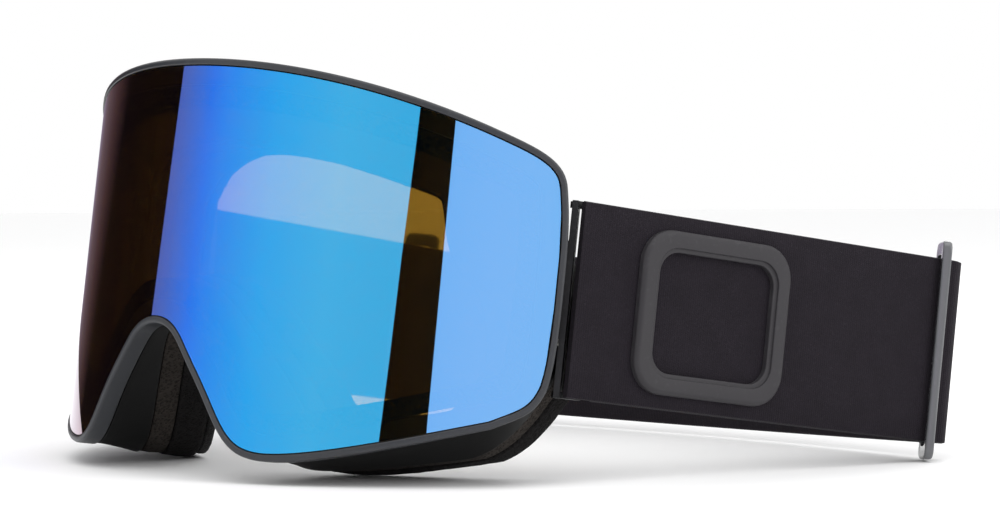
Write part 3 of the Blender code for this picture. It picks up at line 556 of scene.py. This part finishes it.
def tinted_pane(name, tint, rough):
    """Clear moulded pane with a tint and faint smears."""
    material, tree, shader = new_finish(name, Transmission_Weight=1.0, IOR=1.58)
    texture = group_in(tree, GRAIN, Scale=220.0)
    paler = tuple(min(1.0, 1.06 * c) for c in tint)
    tree.links.new(between(tree, texture["Tone"], tint, paler), shader.inputs["Base Color"])
    tree.links.new(ranged(tree, texture["Height"], 0.4, 0.8, rough, rough + 0.02), shader.inputs["Roughness"])
    return material


def mirror_coating(name):
    """Blue interference coating: cyan face on, deeper blue then lilac at a slant, amber behind it."""
    material, tree, shader = new_finish(name, Metallic=1.0)
    slant = put(tree, "ShaderNodeLayerWeight", {"Blend": 0.5}).outputs["Facing"]
    ramp = put(tree, "ShaderNodeValToRGB", {0: slant})
    tones = ramp.color_ramp
    stops = [(0.0, (0.20, 0.54, 0.96)), (0.014, (0.18, 0.53, 0.95)), (0.03, (0.02, 0.42, 0.80)),
             (0.09, (0.03, 0.45, 0.84)), (0.18, (0.004, 0.40, 0.90)), (0.33, (0.0, 0.19, 0.92)),
             (0.5, (0.10, 0.09, 0.30)), (0.75, (0.40, 0.27, 0.34)), (1.0, (0.50, 0.42, 0.55))]
    for k, (place, colour) in enumerate(stops):
        stop = tones.elements[0] if k == 0 else tones.elements[1] if k == 1 else tones.elements.new(place)
        stop.position = place
        stop.color = (*colour, 1.0)
    texture = group_in(tree, GRAIN, Scale=260.0)
    tree.links.new(ramp.outputs["Color"], shader.inputs["Base Color"])
    tree.links.new(ranged(tree, texture["Height"], 0.45, 0.8, 0.012, 0.03), shader.inputs["Roughness"])
    behind = put(tree, "ShaderNodeBsdfPrincipled")
    behind.inputs["Base Color"].default_value = (0.88, 0.50, 0.06, 1.0)
    behind.inputs["Transmission Weight"].default_value = 1.0
    behind.inputs["IOR"].default_value = 1.58
    behind.inputs["Roughness"].default_value = 0.02
    clear = ranged(tree, slant, 0.40, 0.62, 0.28, 0.05)
    share = put(tree, "ShaderNodeMixShader", {0: clear, 1: shader.outputs[0], 2: behind.outputs[0]})
    tree.links.new(share.outputs[0], tree.nodes["Material Output"].inputs["Surface"])
    return material


RIM_SATIN = moulded("rim_satin", (0.020, 0.022, 0.026), (0.028, 0.030, 0.035), (0.08, 0.082, 0.09), 0.36,
                    Specular_IOR_Level=0.38)
FRAME_SOFT = moulded("frame_soft_touch", (0.0035, 0.0035, 0.0036), (0.006, 0.006, 0.006),
                     (0.016, 0.015, 0.015), 0.52, dusty=0.03, Specular_IOR_Level=0.12)
ANCHOR_PLASTIC = moulded("anchor_plastic", (0.008, 0.008, 0.009), (0.012, 0.012, 0.013),
                         (0.03, 0.03, 0.032), 0.42, Specular_IOR_Level=0.25)
BADGE_RUBBER = moulded("badge_rubber", (0.020, 0.018, 0.021), (0.027, 0.025, 0.029),
                       (0.05, 0.048, 0.052), 0.55, grain=2200.0, depth=0.03, Specular_IOR_Level=0.35)
SLIDER_PLASTIC = moulded("slider_gloss", (0.075, 0.077, 0.084), (0.095, 0.098, 0.106),
                         (0.17, 0.17, 0.175), 0.2, grain=1500.0, depth=0.006, Coat_Weight=0.4,
                         Coat_Roughness=0.12)
GRIP_SILICONE = moulded("grip_silicone", (0.15, 0.15, 0.16), (0.20, 0.20, 0.21), (0.26, 0.26, 0.27), 0.38,
                        depth=0.01, Subsurface_Weight=0.2, Subsurface_Scale=0.001)
MAGNET_NICKEL = moulded("magnet_nickel", (0.50, 0.49, 0.46), (0.62, 0.61, 0.58), (0.75, 0.74, 0.70), 0.28,
                        grain=1800.0, depth=0.006, Metallic=1.0)
FOAM_BROWN = foamed("foam_base", (0.010, 0.0085, 0.0075), (0.040, 0.034, 0.030), 1500.0, 0.35, dusty=0.06,
                    Specular_IOR_Level=0.1)
FOAM_BLACK = foamed("foam_cushion", (0.003, 0.0027, 0.0027), (0.012, 0.011, 0.011), 1700.0, 0.3, dusty=0.05,
                    Specular_IOR_Level=0.1)
FOAM_FILTER = foamed("foam_filter", (0.003, 0.003, 0.003), (0.012, 0.012, 0.012), 900.0, 0.5, dusty=0.03,
                     Specular_IOR_Level=0.1)
FLEECE = foamed("fleece", (0.006, 0.0055, 0.0055), (0.018, 0.017, 0.017), 2600.0, 0.25, Sheen_Weight=0.1,
                Sheen_Roughness=0.5, Specular_IOR_Level=0.1)
STRAP_KNIT = knitted("strap_knit", (0.0055, 0.0040, 0.0062), (0.018, 0.0140, 0.020), 0.62, Sheen_Weight=0.03,
                     Sheen_Roughness=0.45, Specular_IOR_Level=0.15)
LENS_MIRROR = mirror_coating("lens_mirror")
LENS_AMBER = tinted_pane("lens_amber", (0.86, 0.56, 0.10), 0.015)
INNER_CLEAR = tinted_pane("inner_clear", (0.93, 0.80, 0.58), 0.02)


# ---- lens unit ----

def make_rim():
    corners = [(front_loop(0.0, 0.0), 0.9), (front_loop(RIM_WIDTH, 0.0), 0.28),
               (front_loop(RIM_WIDTH, LEDGE_DEPTH), 0.2), (front_loop(LEDGE, LEDGE_DEPTH), 0.3),
               (front_loop(LEDGE, RIM_DEPTH), 0.3), (front_loop(0.0, RIM_DEPTH), 0.4)]
    rim = ring("rim", corners, RIM_SATIN, body="lens_unit", stands_for=["lens_rim"],
               slot="rim_satin_charcoal")
    cut(rim, [rounded_box(MAGNET_POCKET, 0.5, on_lens(s, z, RIM_DEPTH, tilt)) for s, z, tilt in MAGNETS])


def pane(name, width, depth, thickness, finish, **more):
    """A curved pane: upright strips between the outline's upper and lower edges, its front face first."""
    line = inset(RIM_LINE, width)
    half = line[:len(line) // 2 + 1]
    half[0, 0] = half[-1, 0] = 0.0
    widest = int(half[:, 0].argmax())
    upper, lower = half[:widest + 1], half[widest:][::-1]
    stations = np.unique(np.concatenate([upper[:, 0], lower[:, 0]]))
    keep = [0]
    for i in range(1, len(stations)):
        if stations[i] - stations[keep[-1]] > 0.35:
            keep.append(i)
    stations = stations[keep]
    stations[-1] = half[widest, 0] - 0.02
    order = np.argsort(lower[:, 0])
    top = np.interp(stations, upper[:, 0], upper[:, 1])
    bottom = np.interp(stations, lower[order, 0], lower[order, 1])
    s = np.concatenate([-stations[:0:-1], stations])
    top, bottom = (np.concatenate([z[:0:-1], z]) for z in (top, bottom))
    rows = [on_curve(s, z, d) for z, d in ((top, depth), (top, depth + thickness),
                                           (bottom, depth + thickness), (bottom, depth))]
    sections = np.stack(rows, axis=1)
    count = len(s)
    tones = np.ones((count - 1) * 4 + 2, int)
    tones[3::4][:count - 1] = 0
    return bar(name, list(sections), finish, tones=tones, smooth=30, **more)


def make_lenses():
    pane("lens_outer", RIM_WIDTH + LENS_GAP, LENS_DEPTH, LENS_THICKNESS, [LENS_MIRROR, LENS_AMBER],
         body="lens_unit", stands_for=["outer_lens"], slot="lens_mirror_blue")
    pane("lens_inner", INNER_INSET, INNER_DEPTH, INNER_THICKNESS, [INNER_CLEAR, INNER_CLEAR],
         body="lens_unit", stands_for=["inner_lens"], slot="lens_clear_amber")
    near, far = GASKET_DEPTH, GASKET_DEPTH + GASKET_THICKNESS
    inner = GASKET_INSET + GASKET_WIDTH
    corners = [(front_loop(GASKET_INSET, near), 0.5), (front_loop(inner, near), 0.7),
               (front_loop(inner, far), 0.7), (front_loop(GASKET_INSET, far), 0.5)]
    gasket = ring("gasket", corners, FOAM_FILTER, body="lens_unit", stands_for=["lens_gasket"],
                  slot="foam_black")


# ---- face frame and foams ----

def anchor_place(side, z):
    """Local Y across the temple wall, from the face frame out to the strap anchor."""
    wall_from, wall_to = Vector((side * 83.9, 51.9, z)), Vector((side * 79.2, 57.0, z))
    run = (wall_to - wall_from).normalized()
    return Matrix.Translation((wall_from + wall_to) / 2) @ Matrix.Rotation(atan2(run.y, run.x), 4, "Z")


def make_face_frame():
    back = -FRAME_WALL
    wall = FRAME_WALL + 0.4
    corners = [(front_loop(0.3, FRAME_FRONT), 0.6), (face_loop(0.2, 0.0), 0.7), (face_loop(FLANGE, 0.0), 0.7),
               (face_loop(FLANGE, back), 0.7), (face_loop(wall, back), 0.6),
               (front_loop(wall, FRAME_FRONT + FRAME_FLANGE), 0.4),
               (front_loop(LEDGE, FRAME_FRONT + FRAME_FLANGE), 0.4),
               (front_loop(LEDGE, FRAME_FRONT), 0.4)]
    shell = ring("face_shell", corners, FRAME_SOFT, body="frame", stands_for=["face_frame"],
                 slot="frame_soft_black")
    shapes = [rounded_box(MAGNET_POCKET, 0.5, on_lens(s, z, FRAME_FRONT, tilt)) for s, z, tilt in MAGNETS]
    shapes += [rounded_box((13.0, 16.0, 4.2), 1.6, on_lens(s, z, 12.2) @ Matrix.Rotation(pi / 2, 4, "X"))
               for s, z in VENTS]
    shapes += [rounded_box((2.3, 9.0, 2.3), 0.9, anchor_place(side, z))
               for side in (1, -1) for z in (-10.0, -30.0)]
    cut(shell, shapes)


def foam(name, near, far, outer, inner, near_round, far_round, finish, node, slot, swelling):
    """One layer of face foam, glued at its near face, that bellies out a little between its faces."""
    def loop(width, behind):
        return face_loop(width, behind, SOFT_LINE, FACE_TAPER)
    middle = (near + far) / 2
    centre = (outer + inner) / 2
    corners = [(loop(outer, near), near_round), (loop(outer - 0.15, middle), 0.0),
               (loop(outer, far), far_round), (loop(centre, far), 0.0), (loop(inner, far), far_round),
               (loop(inner + 0.15, middle), 0.0), (loop(inner, near), near_round), (loop(centre, near), 0.0)]
    pad = ring(name, corners, finish, steps=6, body="frame", stands_for=[node], slot=slot, smooth=60)
    swell(pad, 3.0, swelling)
    ripple = np.random.default_rng(7).normal(0, 0.03, (len(pad.data.vertices), 3)) * MM
    for v, shift in zip(pad.data.vertices, ripple):
        v.co += Vector(shift)


def make_foams():
    foam("base_foam", 0.3, 6.3, 0.6, SOFT_FLANGE + 0.6, 0.3, 0.35, FOAM_BROWN, "foam_base",
         "foam_base_brown", 0.25)
    foam("cushion_foam", 6.6, 15.6, 0.3, SOFT_FLANGE + 1.2, 0.5, 1.9, FOAM_BLACK, "foam_cushion",
         "foam_black", 0.6)
    foam("fleece_layer", 16.0, 18.6, 1.5, SOFT_FLANGE, 0.5, 1.1, FLEECE, "foam_fleece", "fleece_charcoal",
         0.4)
    half = half_outline(RIM)
    top = half[(half[:, 0] < 62) & (half[:, 1] > 0)]
    sections = []
    for s in np.linspace(-60.0, 60.0, 122):
        z = np.interp(abs(s), top[:, 0], top[:, 1]) - 7.1
        ring_points = []
        for a in np.linspace(0, 2 * pi, 20, endpoint=False):
            across = np.sign(cos(a)) * abs(cos(a)) ** 0.35
            up = np.sign(sin(a)) * abs(sin(a)) ** 0.35
            ring_points.append(on_curve(s, z + 1.5 * up, 9.8 + 2.2 * across))
        sections.append(np.array(ring_points))
    strip = bar("upper_filter", sections, FOAM_FILTER, body="frame", stands_for=["vent_foam_upper"],
                slot="foam_black")


# ---- strap ----

def strap_place(along, out):
    """A place by the left arm in plan: along it from its start, outwards from its outer face."""
    b = radians(STRAP_ANGLE)
    return STRAP_START + Vector((sin(b), cos(b))) * along + Vector((cos(b), -sin(b))) * out


def arc(centre, radius, start, turn, steps=28):
    angles = np.radians(start + turn * np.linspace(0, 1, steps))
    return np.stack([centre.x + radius * np.cos(angles), centre.y + radius * np.sin(angles)], axis=1)


def ribbon(name, path, half_heights, finish, thickness=STRAP_THICKNESS, middle=STRAP_Z, side=1,
           round_edge=0.45, start=0.0, **more):
    """A woven band: an upright ribbon along a path in plan, with rounded selvedges."""
    ahead = np.gradient(path, axis=0)
    ahead /= np.linalg.norm(ahead, axis=1)[:, None]
    across = np.stack([ahead[:, 1], -ahead[:, 0]], axis=1)
    run = start + np.concatenate([[0], np.cumsum(np.linalg.norm(np.diff(path, axis=0), axis=1))])
    half = thickness / 2
    section = []
    for sign in (1, -1):
        for z in np.linspace(-1, 1, 7)[::sign]:
            section.append((sign * half, z, 0.0))
        for a in np.linspace(-60, 60, 3):
            over = round_edge * (cos(radians(a)) - 0.2)
            section.append((sign * half * -sin(radians(a)), sign, over))
    rows, lay = [], []
    for place, normal, u, reach in zip(path, across, run, half_heights):
        for out, z, over in section:
            height = z * (reach - round_edge) + (np.sign(z) * over if over else 0.0)
            x, y = place + normal * out
            rows.append((side * x, y, middle + height))
            lay.append((u, height, out))
    count = len(section)
    sections = np.array(rows).reshape(len(path), count, 3)
    return bar(name, list(sections), finish, lay=lay, smooth=70, **more)


def full(path):
    return np.full(len(path), STRAP_WIDTH / 2)


def make_strap_side(side, word):
    half = STRAP_THICKNESS / 2
    body = f"strap_{word}"
    path = np.array([strap_place(a, -half) for a in np.linspace(INNER_BAR_ALONG - 0.02, ARM_START, 46)])
    ribbon(f"arm_{word}", path, full(path), STRAP_KNIT, side=side, body=body,
           stands_for=[f"strap_arm_{word}"], slot="strap_knit_black")

    pivot = strap_place(BAR_ALONG, BAR_OUT)
    ends = [[strap_place(a, BAR_OUT + lift) for a in (TAB_END, 11.5, 10.0)] for lift in (TAB_BEND, -TAB_BEND)]
    path = np.vstack([ends[0], arc(pivot, TAB_BEND, -STRAP_ANGLE, -180.0), ends[1][::-1]])
    ribbon(f"tab_{word}", path, np.full(len(path), TAB_WIDTH / 2), STRAP_KNIT, thickness=TAB_THICKNESS,
           side=side, body=body, stands_for=[f"strap_tab_{word}"], slot="strap_knit_black", start=200.0)

    near, far = BAR_OUT - TAB_BEND, INNER_BAR_OUT - SLIDER_LOOP
    back = [strap_place(a, near + (far - near) * step_up(a, 28.0, 98.0))
            for a in np.linspace(TAB_END + 0.3, INNER_BAR_ALONG, 48)]
    loop = arc(strap_place(INNER_BAR_ALONG, INNER_BAR_OUT), SLIDER_LOOP, 180 - STRAP_ANGLE, -180.0)
    tail = [strap_place(INNER_BAR_ALONG - d, INNER_BAR_OUT + SLIDER_LOOP) for d in (2.0, 4.5, 7.0)]
    path = np.vstack([np.array(back)[:-1], loop, np.array(tail)])
    ply = ribbon(f"return_ply_{word}", path, full(path), STRAP_KNIT, side=side,
                 stands_for=[f"strap_return_{word}"], slot="strap_knit_black", start=40.0)
    ends = [strap_place(a, INNER_BAR_OUT) for a in (16.0, 100.0)]
    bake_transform(ply)
    make_badge(side, word, body)
    make_slider(side, word)


def rounded_rectangle(length, height, corner, steps=9):
    points = []
    for cx, cz, start in ((1, 1, 0), (-1, 1, 90), (-1, -1, 180), (1, -1, 270)):
        centre = Vector((cx * (length / 2 - corner), cz * (height / 2 - corner)))
        points.append(arc(centre, corner, start, 90.0, steps))
    return along_line(np.vstack(points), 120, closed=True)


def on_strap(loop, out, side):
    """A flat loop laid on the strap's outer face, out mm above it."""
    rows = []
    for x, z in loop:
        place = strap_place(BADGE_ALONG + x, out)
        rows.append((side * place.x, place.y, BADGE_Z + z))
    return np.array(rows)


def make_badge(side, word, body):
    """A moulded rubber frame with a bevelled edge and a stepped inner lip."""
    outer, inner = rounded_rectangle(43.0, 38.0, 8.0), rounded_rectangle(33.0, 28.0, 5.0)
    lip, crest = rounded_rectangle(35.0, 30.0, 5.6), rounded_rectangle(41.4, 36.4, 7.2)
    corners = [(on_strap(outer, 0.06, side), 0.0), (on_strap(outer, 1.3, side), 0.35),
               (on_strap(crest, 2.2, side), 0.5), (on_strap(lip, 2.2, side), 0.3),
               (on_strap(lip, 1.5, side), 0.25), (on_strap(inner, 1.5, side), 0.35),
               (on_strap(inner, 0.06, side), 0.0)]
    ring(f"badge_{word}", corners, BADGE_RUBBER, steps=4, body=body, stands_for=[f"strap_badge_{word}"],
         slot="badge_rubber_grey")


def make_slider(side, word):
    """A flat ladder frame, one moulding, tilted round the strap."""
    outer, inner = strap_place(SLIDER_ALONG, OUTER_BAR_OUT), strap_place(INNER_BAR_ALONG, INNER_BAR_OUT)
    middle, across = (outer + inner) / 2, (inner - outer)
    reach = across.length
    across.normalize()
    face = Vector((across.y, -across.x))
    half = SLIDER_BAR / 2
    height = STRAP_WIDTH / 2 + SLIDER_CAP

    def laid(loop, lift):
        rows = []
        for x, z in loop:
            place = middle + across * x + face * lift
            rows.append((side * place.x, place.y, STRAP_Z + z))
        return np.array(rows)

    rim_line = rounded_rectangle(reach + SLIDER_BAR + 0.4, 2 * height, 1.9)
    hole = rounded_rectangle(reach - SLIDER_BAR + 0.1, STRAP_WIDTH + 1.2, 0.9)
    corners = [(laid(rim_line, half), 0.75), (laid(hole, half), 0.6), (laid(hole, -half), 0.6),
               (laid(rim_line, -half), 0.75)]
    ring(f"buckle_{word}", corners, SLIDER_PLASTIC, steps=6, body=f"slider_{word}",
         stands_for=[f"slider_{word}"], slot="slider_gloss_grey")


def make_rear():
    """The strap behind the head, in two halves that carry on from the strap arms, with its printed grip
    lines.
    """
    bend = arc(strap_place(INNER_BAR_ALONG, INNER_BAR_OUT), REAR_BEND, -STRAP_ANGLE, REAR_TURN)
    end_x, end_y = bend[-1]
    x = np.linspace(end_x, 0, 50)[1:]
    path = np.vstack([bend, np.stack([x, end_y + REAR_SAG * (1 - (x / end_x) ** 2)], axis=1)])
    inwards = STRAP_THICKNESS / 2 + 0.12 + GRIP_THICKNESS / 2
    x = np.linspace(GRIP_REACH, 0, 44)
    line = np.stack([x, end_y + REAR_SAG * (1 - (x / end_x) ** 2) - inwards], axis=1)
    for side, word in ((1, "left"), (-1, "right")):
        back = ribbon(f"rear_strap_{word}", path, full(path), STRAP_KNIT, side=side, slot="strap_knit_black",
                      stands_for=["strap_rear"] if side > 0 else ())
        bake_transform(back)
        for k, dz in enumerate((-GRIP_SPACING, 0.0, GRIP_SPACING)):
            grip = ribbon(f"grip_line_{k + 1}_{word}", line, np.full(len(line), GRIP_WIDTH / 2),
                          GRIP_SILICONE, thickness=GRIP_THICKNESS, middle=STRAP_Z + dz, side=side,
                          round_edge=0.3, slot="silicone_clear_grey",
                          stands_for=[f"strap_grip_{k + 1}"] if side > 0 else ())
            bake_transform(grip)


# ---- stage, lights and camera ----

CAMERA_PLACE = Vector((630.431, -439.798, -62.473))
CAMERA_UP = Vector((-0.01605, -0.12068, 0.99256))
CAMERA_AHEAD = Vector((-0.75488, 0.65242, 0.06711))


def seen_in_lens(degrees, z, far):
    """The place that the camera sees mirrored in the lens front, at an angle round it and a height on it."""
    angle = radians(degrees)
    radius = LENS_RADIUS - LENS_DEPTH
    spot = Vector((radius * sin(angle), LENS_RADIUS - radius * cos(angle), z))
    normal = Vector((sin(angle), -cos(angle), 0.0))
    ahead = (spot - CAMERA_PLACE).normalized()
    return seat(spot + (ahead - 2 * ahead.dot(normal) * normal) * far)


def card(name, rows, stops, strength=1.0):
    """A studio card that only reflections see: rows of places, and colours across it."""
    count = len(rows[0])
    mesh = bpy.data.meshes.new(name)
    faces = [(r * count + i, r * count + i + 1, (r + 1) * count + i + 1, (r + 1) * count + i)
             for r in range(len(rows) - 1) for i in range(count - 1)]
    mesh.from_pydata([p for row in rows for p in row], [], faces)
    share = mesh.attributes.new("share", "FLOAT", "POINT")
    share.data.foreach_set("value", [i / (count - 1) for _ in rows for i in range(count)])
    material = bpy.data.materials.new(name)
    material.use_nodes = True
    tree = material.node_tree
    tree.nodes.clear()
    across = put(tree, "ShaderNodeAttribute", attribute_name="share").outputs["Fac"]
    ramp = put(tree, "ShaderNodeValToRGB", {0: across})
    for k, (place, colour) in enumerate(stops):
        tones = ramp.color_ramp.elements
        stop = tones[k] if k < 2 else tones.new(place)
        stop.position = place
        stop.color = (*colour, 1.0)
    shader = put(tree, "ShaderNodeEmission", {0: ramp.outputs["Color"], "Strength": strength}).outputs[0]
    out = put(tree, "ShaderNodeOutputMaterial", {"Surface": shader})
    out.is_active_output = True
    mesh.materials.append(material)
    obj = bpy.data.objects.new(name, mesh)
    scene.collection.objects.link(obj)
    obj.visible_camera = obj.visible_diffuse = obj.visible_shadow = obj.visible_transmission = False


def upright_card(name, near, far_edge, stops, far=900.0, strength=1.0):
    """An upright card between two angles round the lens; each edge is (angle at the top, angle low down)."""
    rows = []
    for z, t in ((130.0, -0.6), (24.0, 0.0), (-20.0, 0.5), (-64.0, 1.0), (-150.0, 2.0)):
        left = near[0] + (near[1] - near[0]) * t
        right = far_edge[0] + (far_edge[1] - far_edge[0]) * t
        rows.append([seen_in_lens(left + (right - left) * k / 12, z, far) for k in range(13)])
    card(name, rows, stops, strength)


def make_stage():
    size, sides = 6.0, 96
    mesh = bpy.data.meshes.new("floor")
    circle = [(size * cos(2 * pi * k / sides), size * sin(2 * pi * k / sides), 0.0) for k in range(sides)]
    mesh.from_pydata(circle, [], [tuple(range(sides))])
    material, tree, shader = new_finish("floor_paper", Roughness=0.7)
    texture = group_in(tree, GRAIN, Scale=120.0)
    paper = between(tree, texture["Tone"], (0.95, 0.95, 0.952), (0.97, 0.97, 0.972))
    tree.links.new(paper, shader.inputs["Base Color"])
    mesh.materials.append(material)
    ground = bpy.data.objects.new("floor", mesh)
    scene.collection.objects.link(ground)

    world = bpy.data.worlds.new("studio")
    world.use_nodes = True
    world.node_tree.nodes["Background"].inputs["Color"].default_value = (1.0, 1.0, 1.0, 1.0)
    world.node_tree.nodes["Background"].inputs["Strength"].default_value = 1.0
    scene.world = world

    upright_card("flag_left", (-14.3, -20.6), (0.3, -1.6),
                 [(0.0, (0.012, 0.008, 0.008)), (1.0, (0.006, 0.004, 0.006))])
    upright_card("flag_middle", (38.0, 37.0), (42.6, 43.0),
                 [(0.0, (0.004, 0.003, 0.003)), (1.0, (0.012, 0.007, 0.004))])
    upright_card("fade_left", (-40.5, -40.5), (-14.3, -20.6),
                 [(0.0, (0.7, 0.62, 0.8)), (0.25, (0.34, 0.29, 0.40)), (0.55, (0.17, 0.12, 0.135)),
                  (0.8, (0.09, 0.055, 0.055)), (1.0, (0.012, 0.008, 0.008))], far=880.0)
    upright_card("softbox_front", (0.3, -1.6), (38.0, 37.0),
                 [(0.0, (0.72, 0.72, 0.80)), (0.25, (0.95, 0.95, 1.0)), (1.0, (1.0, 1.0, 1.0))],
                 strength=1.25)
    upright_card("softbox_side", (42.6, 43.0), (59.0, 59.0),
                 [(0.0, (0.85, 0.86, 1.0)), (1.0, (1.0, 0.92, 1.0))], strength=1.3)


def softlight(name, place, size, power, colour=(1.0, 1.0, 1.0)):
    light = bpy.data.lights.new(name, "AREA")
    light.shape = "RECTANGLE"
    light.size, light.size_y = size
    light.energy = power
    light.color = colour
    obj = bpy.data.objects.new(name, light)
    scene.collection.objects.link(obj)
    obj.location = place
    obj.rotation_euler = (Vector((0, 0, 0.05)) - Vector(place)).to_track_quat("-Z", "Y").to_euler()


def make_lights():
    softlight("light_over", (0.3, -0.2, 1.5), (1.6, 1.2), 9.0)
    softlight("light_side", (1.5, 0.5, 0.7), (0.8, 1.2), 7.0)
    softlight("light_back", (-0.6, 1.4, 0.9), (1.0, 0.8), 5.0)


def make_camera():
    data = bpy.data.cameras.new("camera")
    data.lens = 117.2
    data.sensor_width = 36.0
    data.clip_start, data.clip_end = 0.02, 30.0
    camera = bpy.data.objects.new("camera", data)
    scene.collection.objects.link(camera)
    turn = SEAT.to_3x3().normalized()
    right = CAMERA_AHEAD.cross(CAMERA_UP)
    axes = [(turn @ v).normalized() for v in (right, CAMERA_UP, -CAMERA_AHEAD)]
    matrix = Matrix(axes).transposed().to_4x4()
    matrix.translation = seat(CAMERA_PLACE)
    camera.matrix_world = matrix
    scene.camera = camera


make_camera()
make_stage()
make_lights()
make_rim()
make_lenses()
make_face_frame()
make_foams()
for strap_side, strap_word in ((1, "left"), (-1, "right")):
    make_strap_side(strap_side, strap_word)
make_rear()

for node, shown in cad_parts.items():
    if shown.hide_render:
        continue
    finish = ANCHOR_PLASTIC if node.startswith("strap_anchor") else MAGNET_NICKEL
    for k in range(len(shown.data.materials)):
        shown.data.materials[k] = finish

scene.view_settings.view_transform = "Standard"
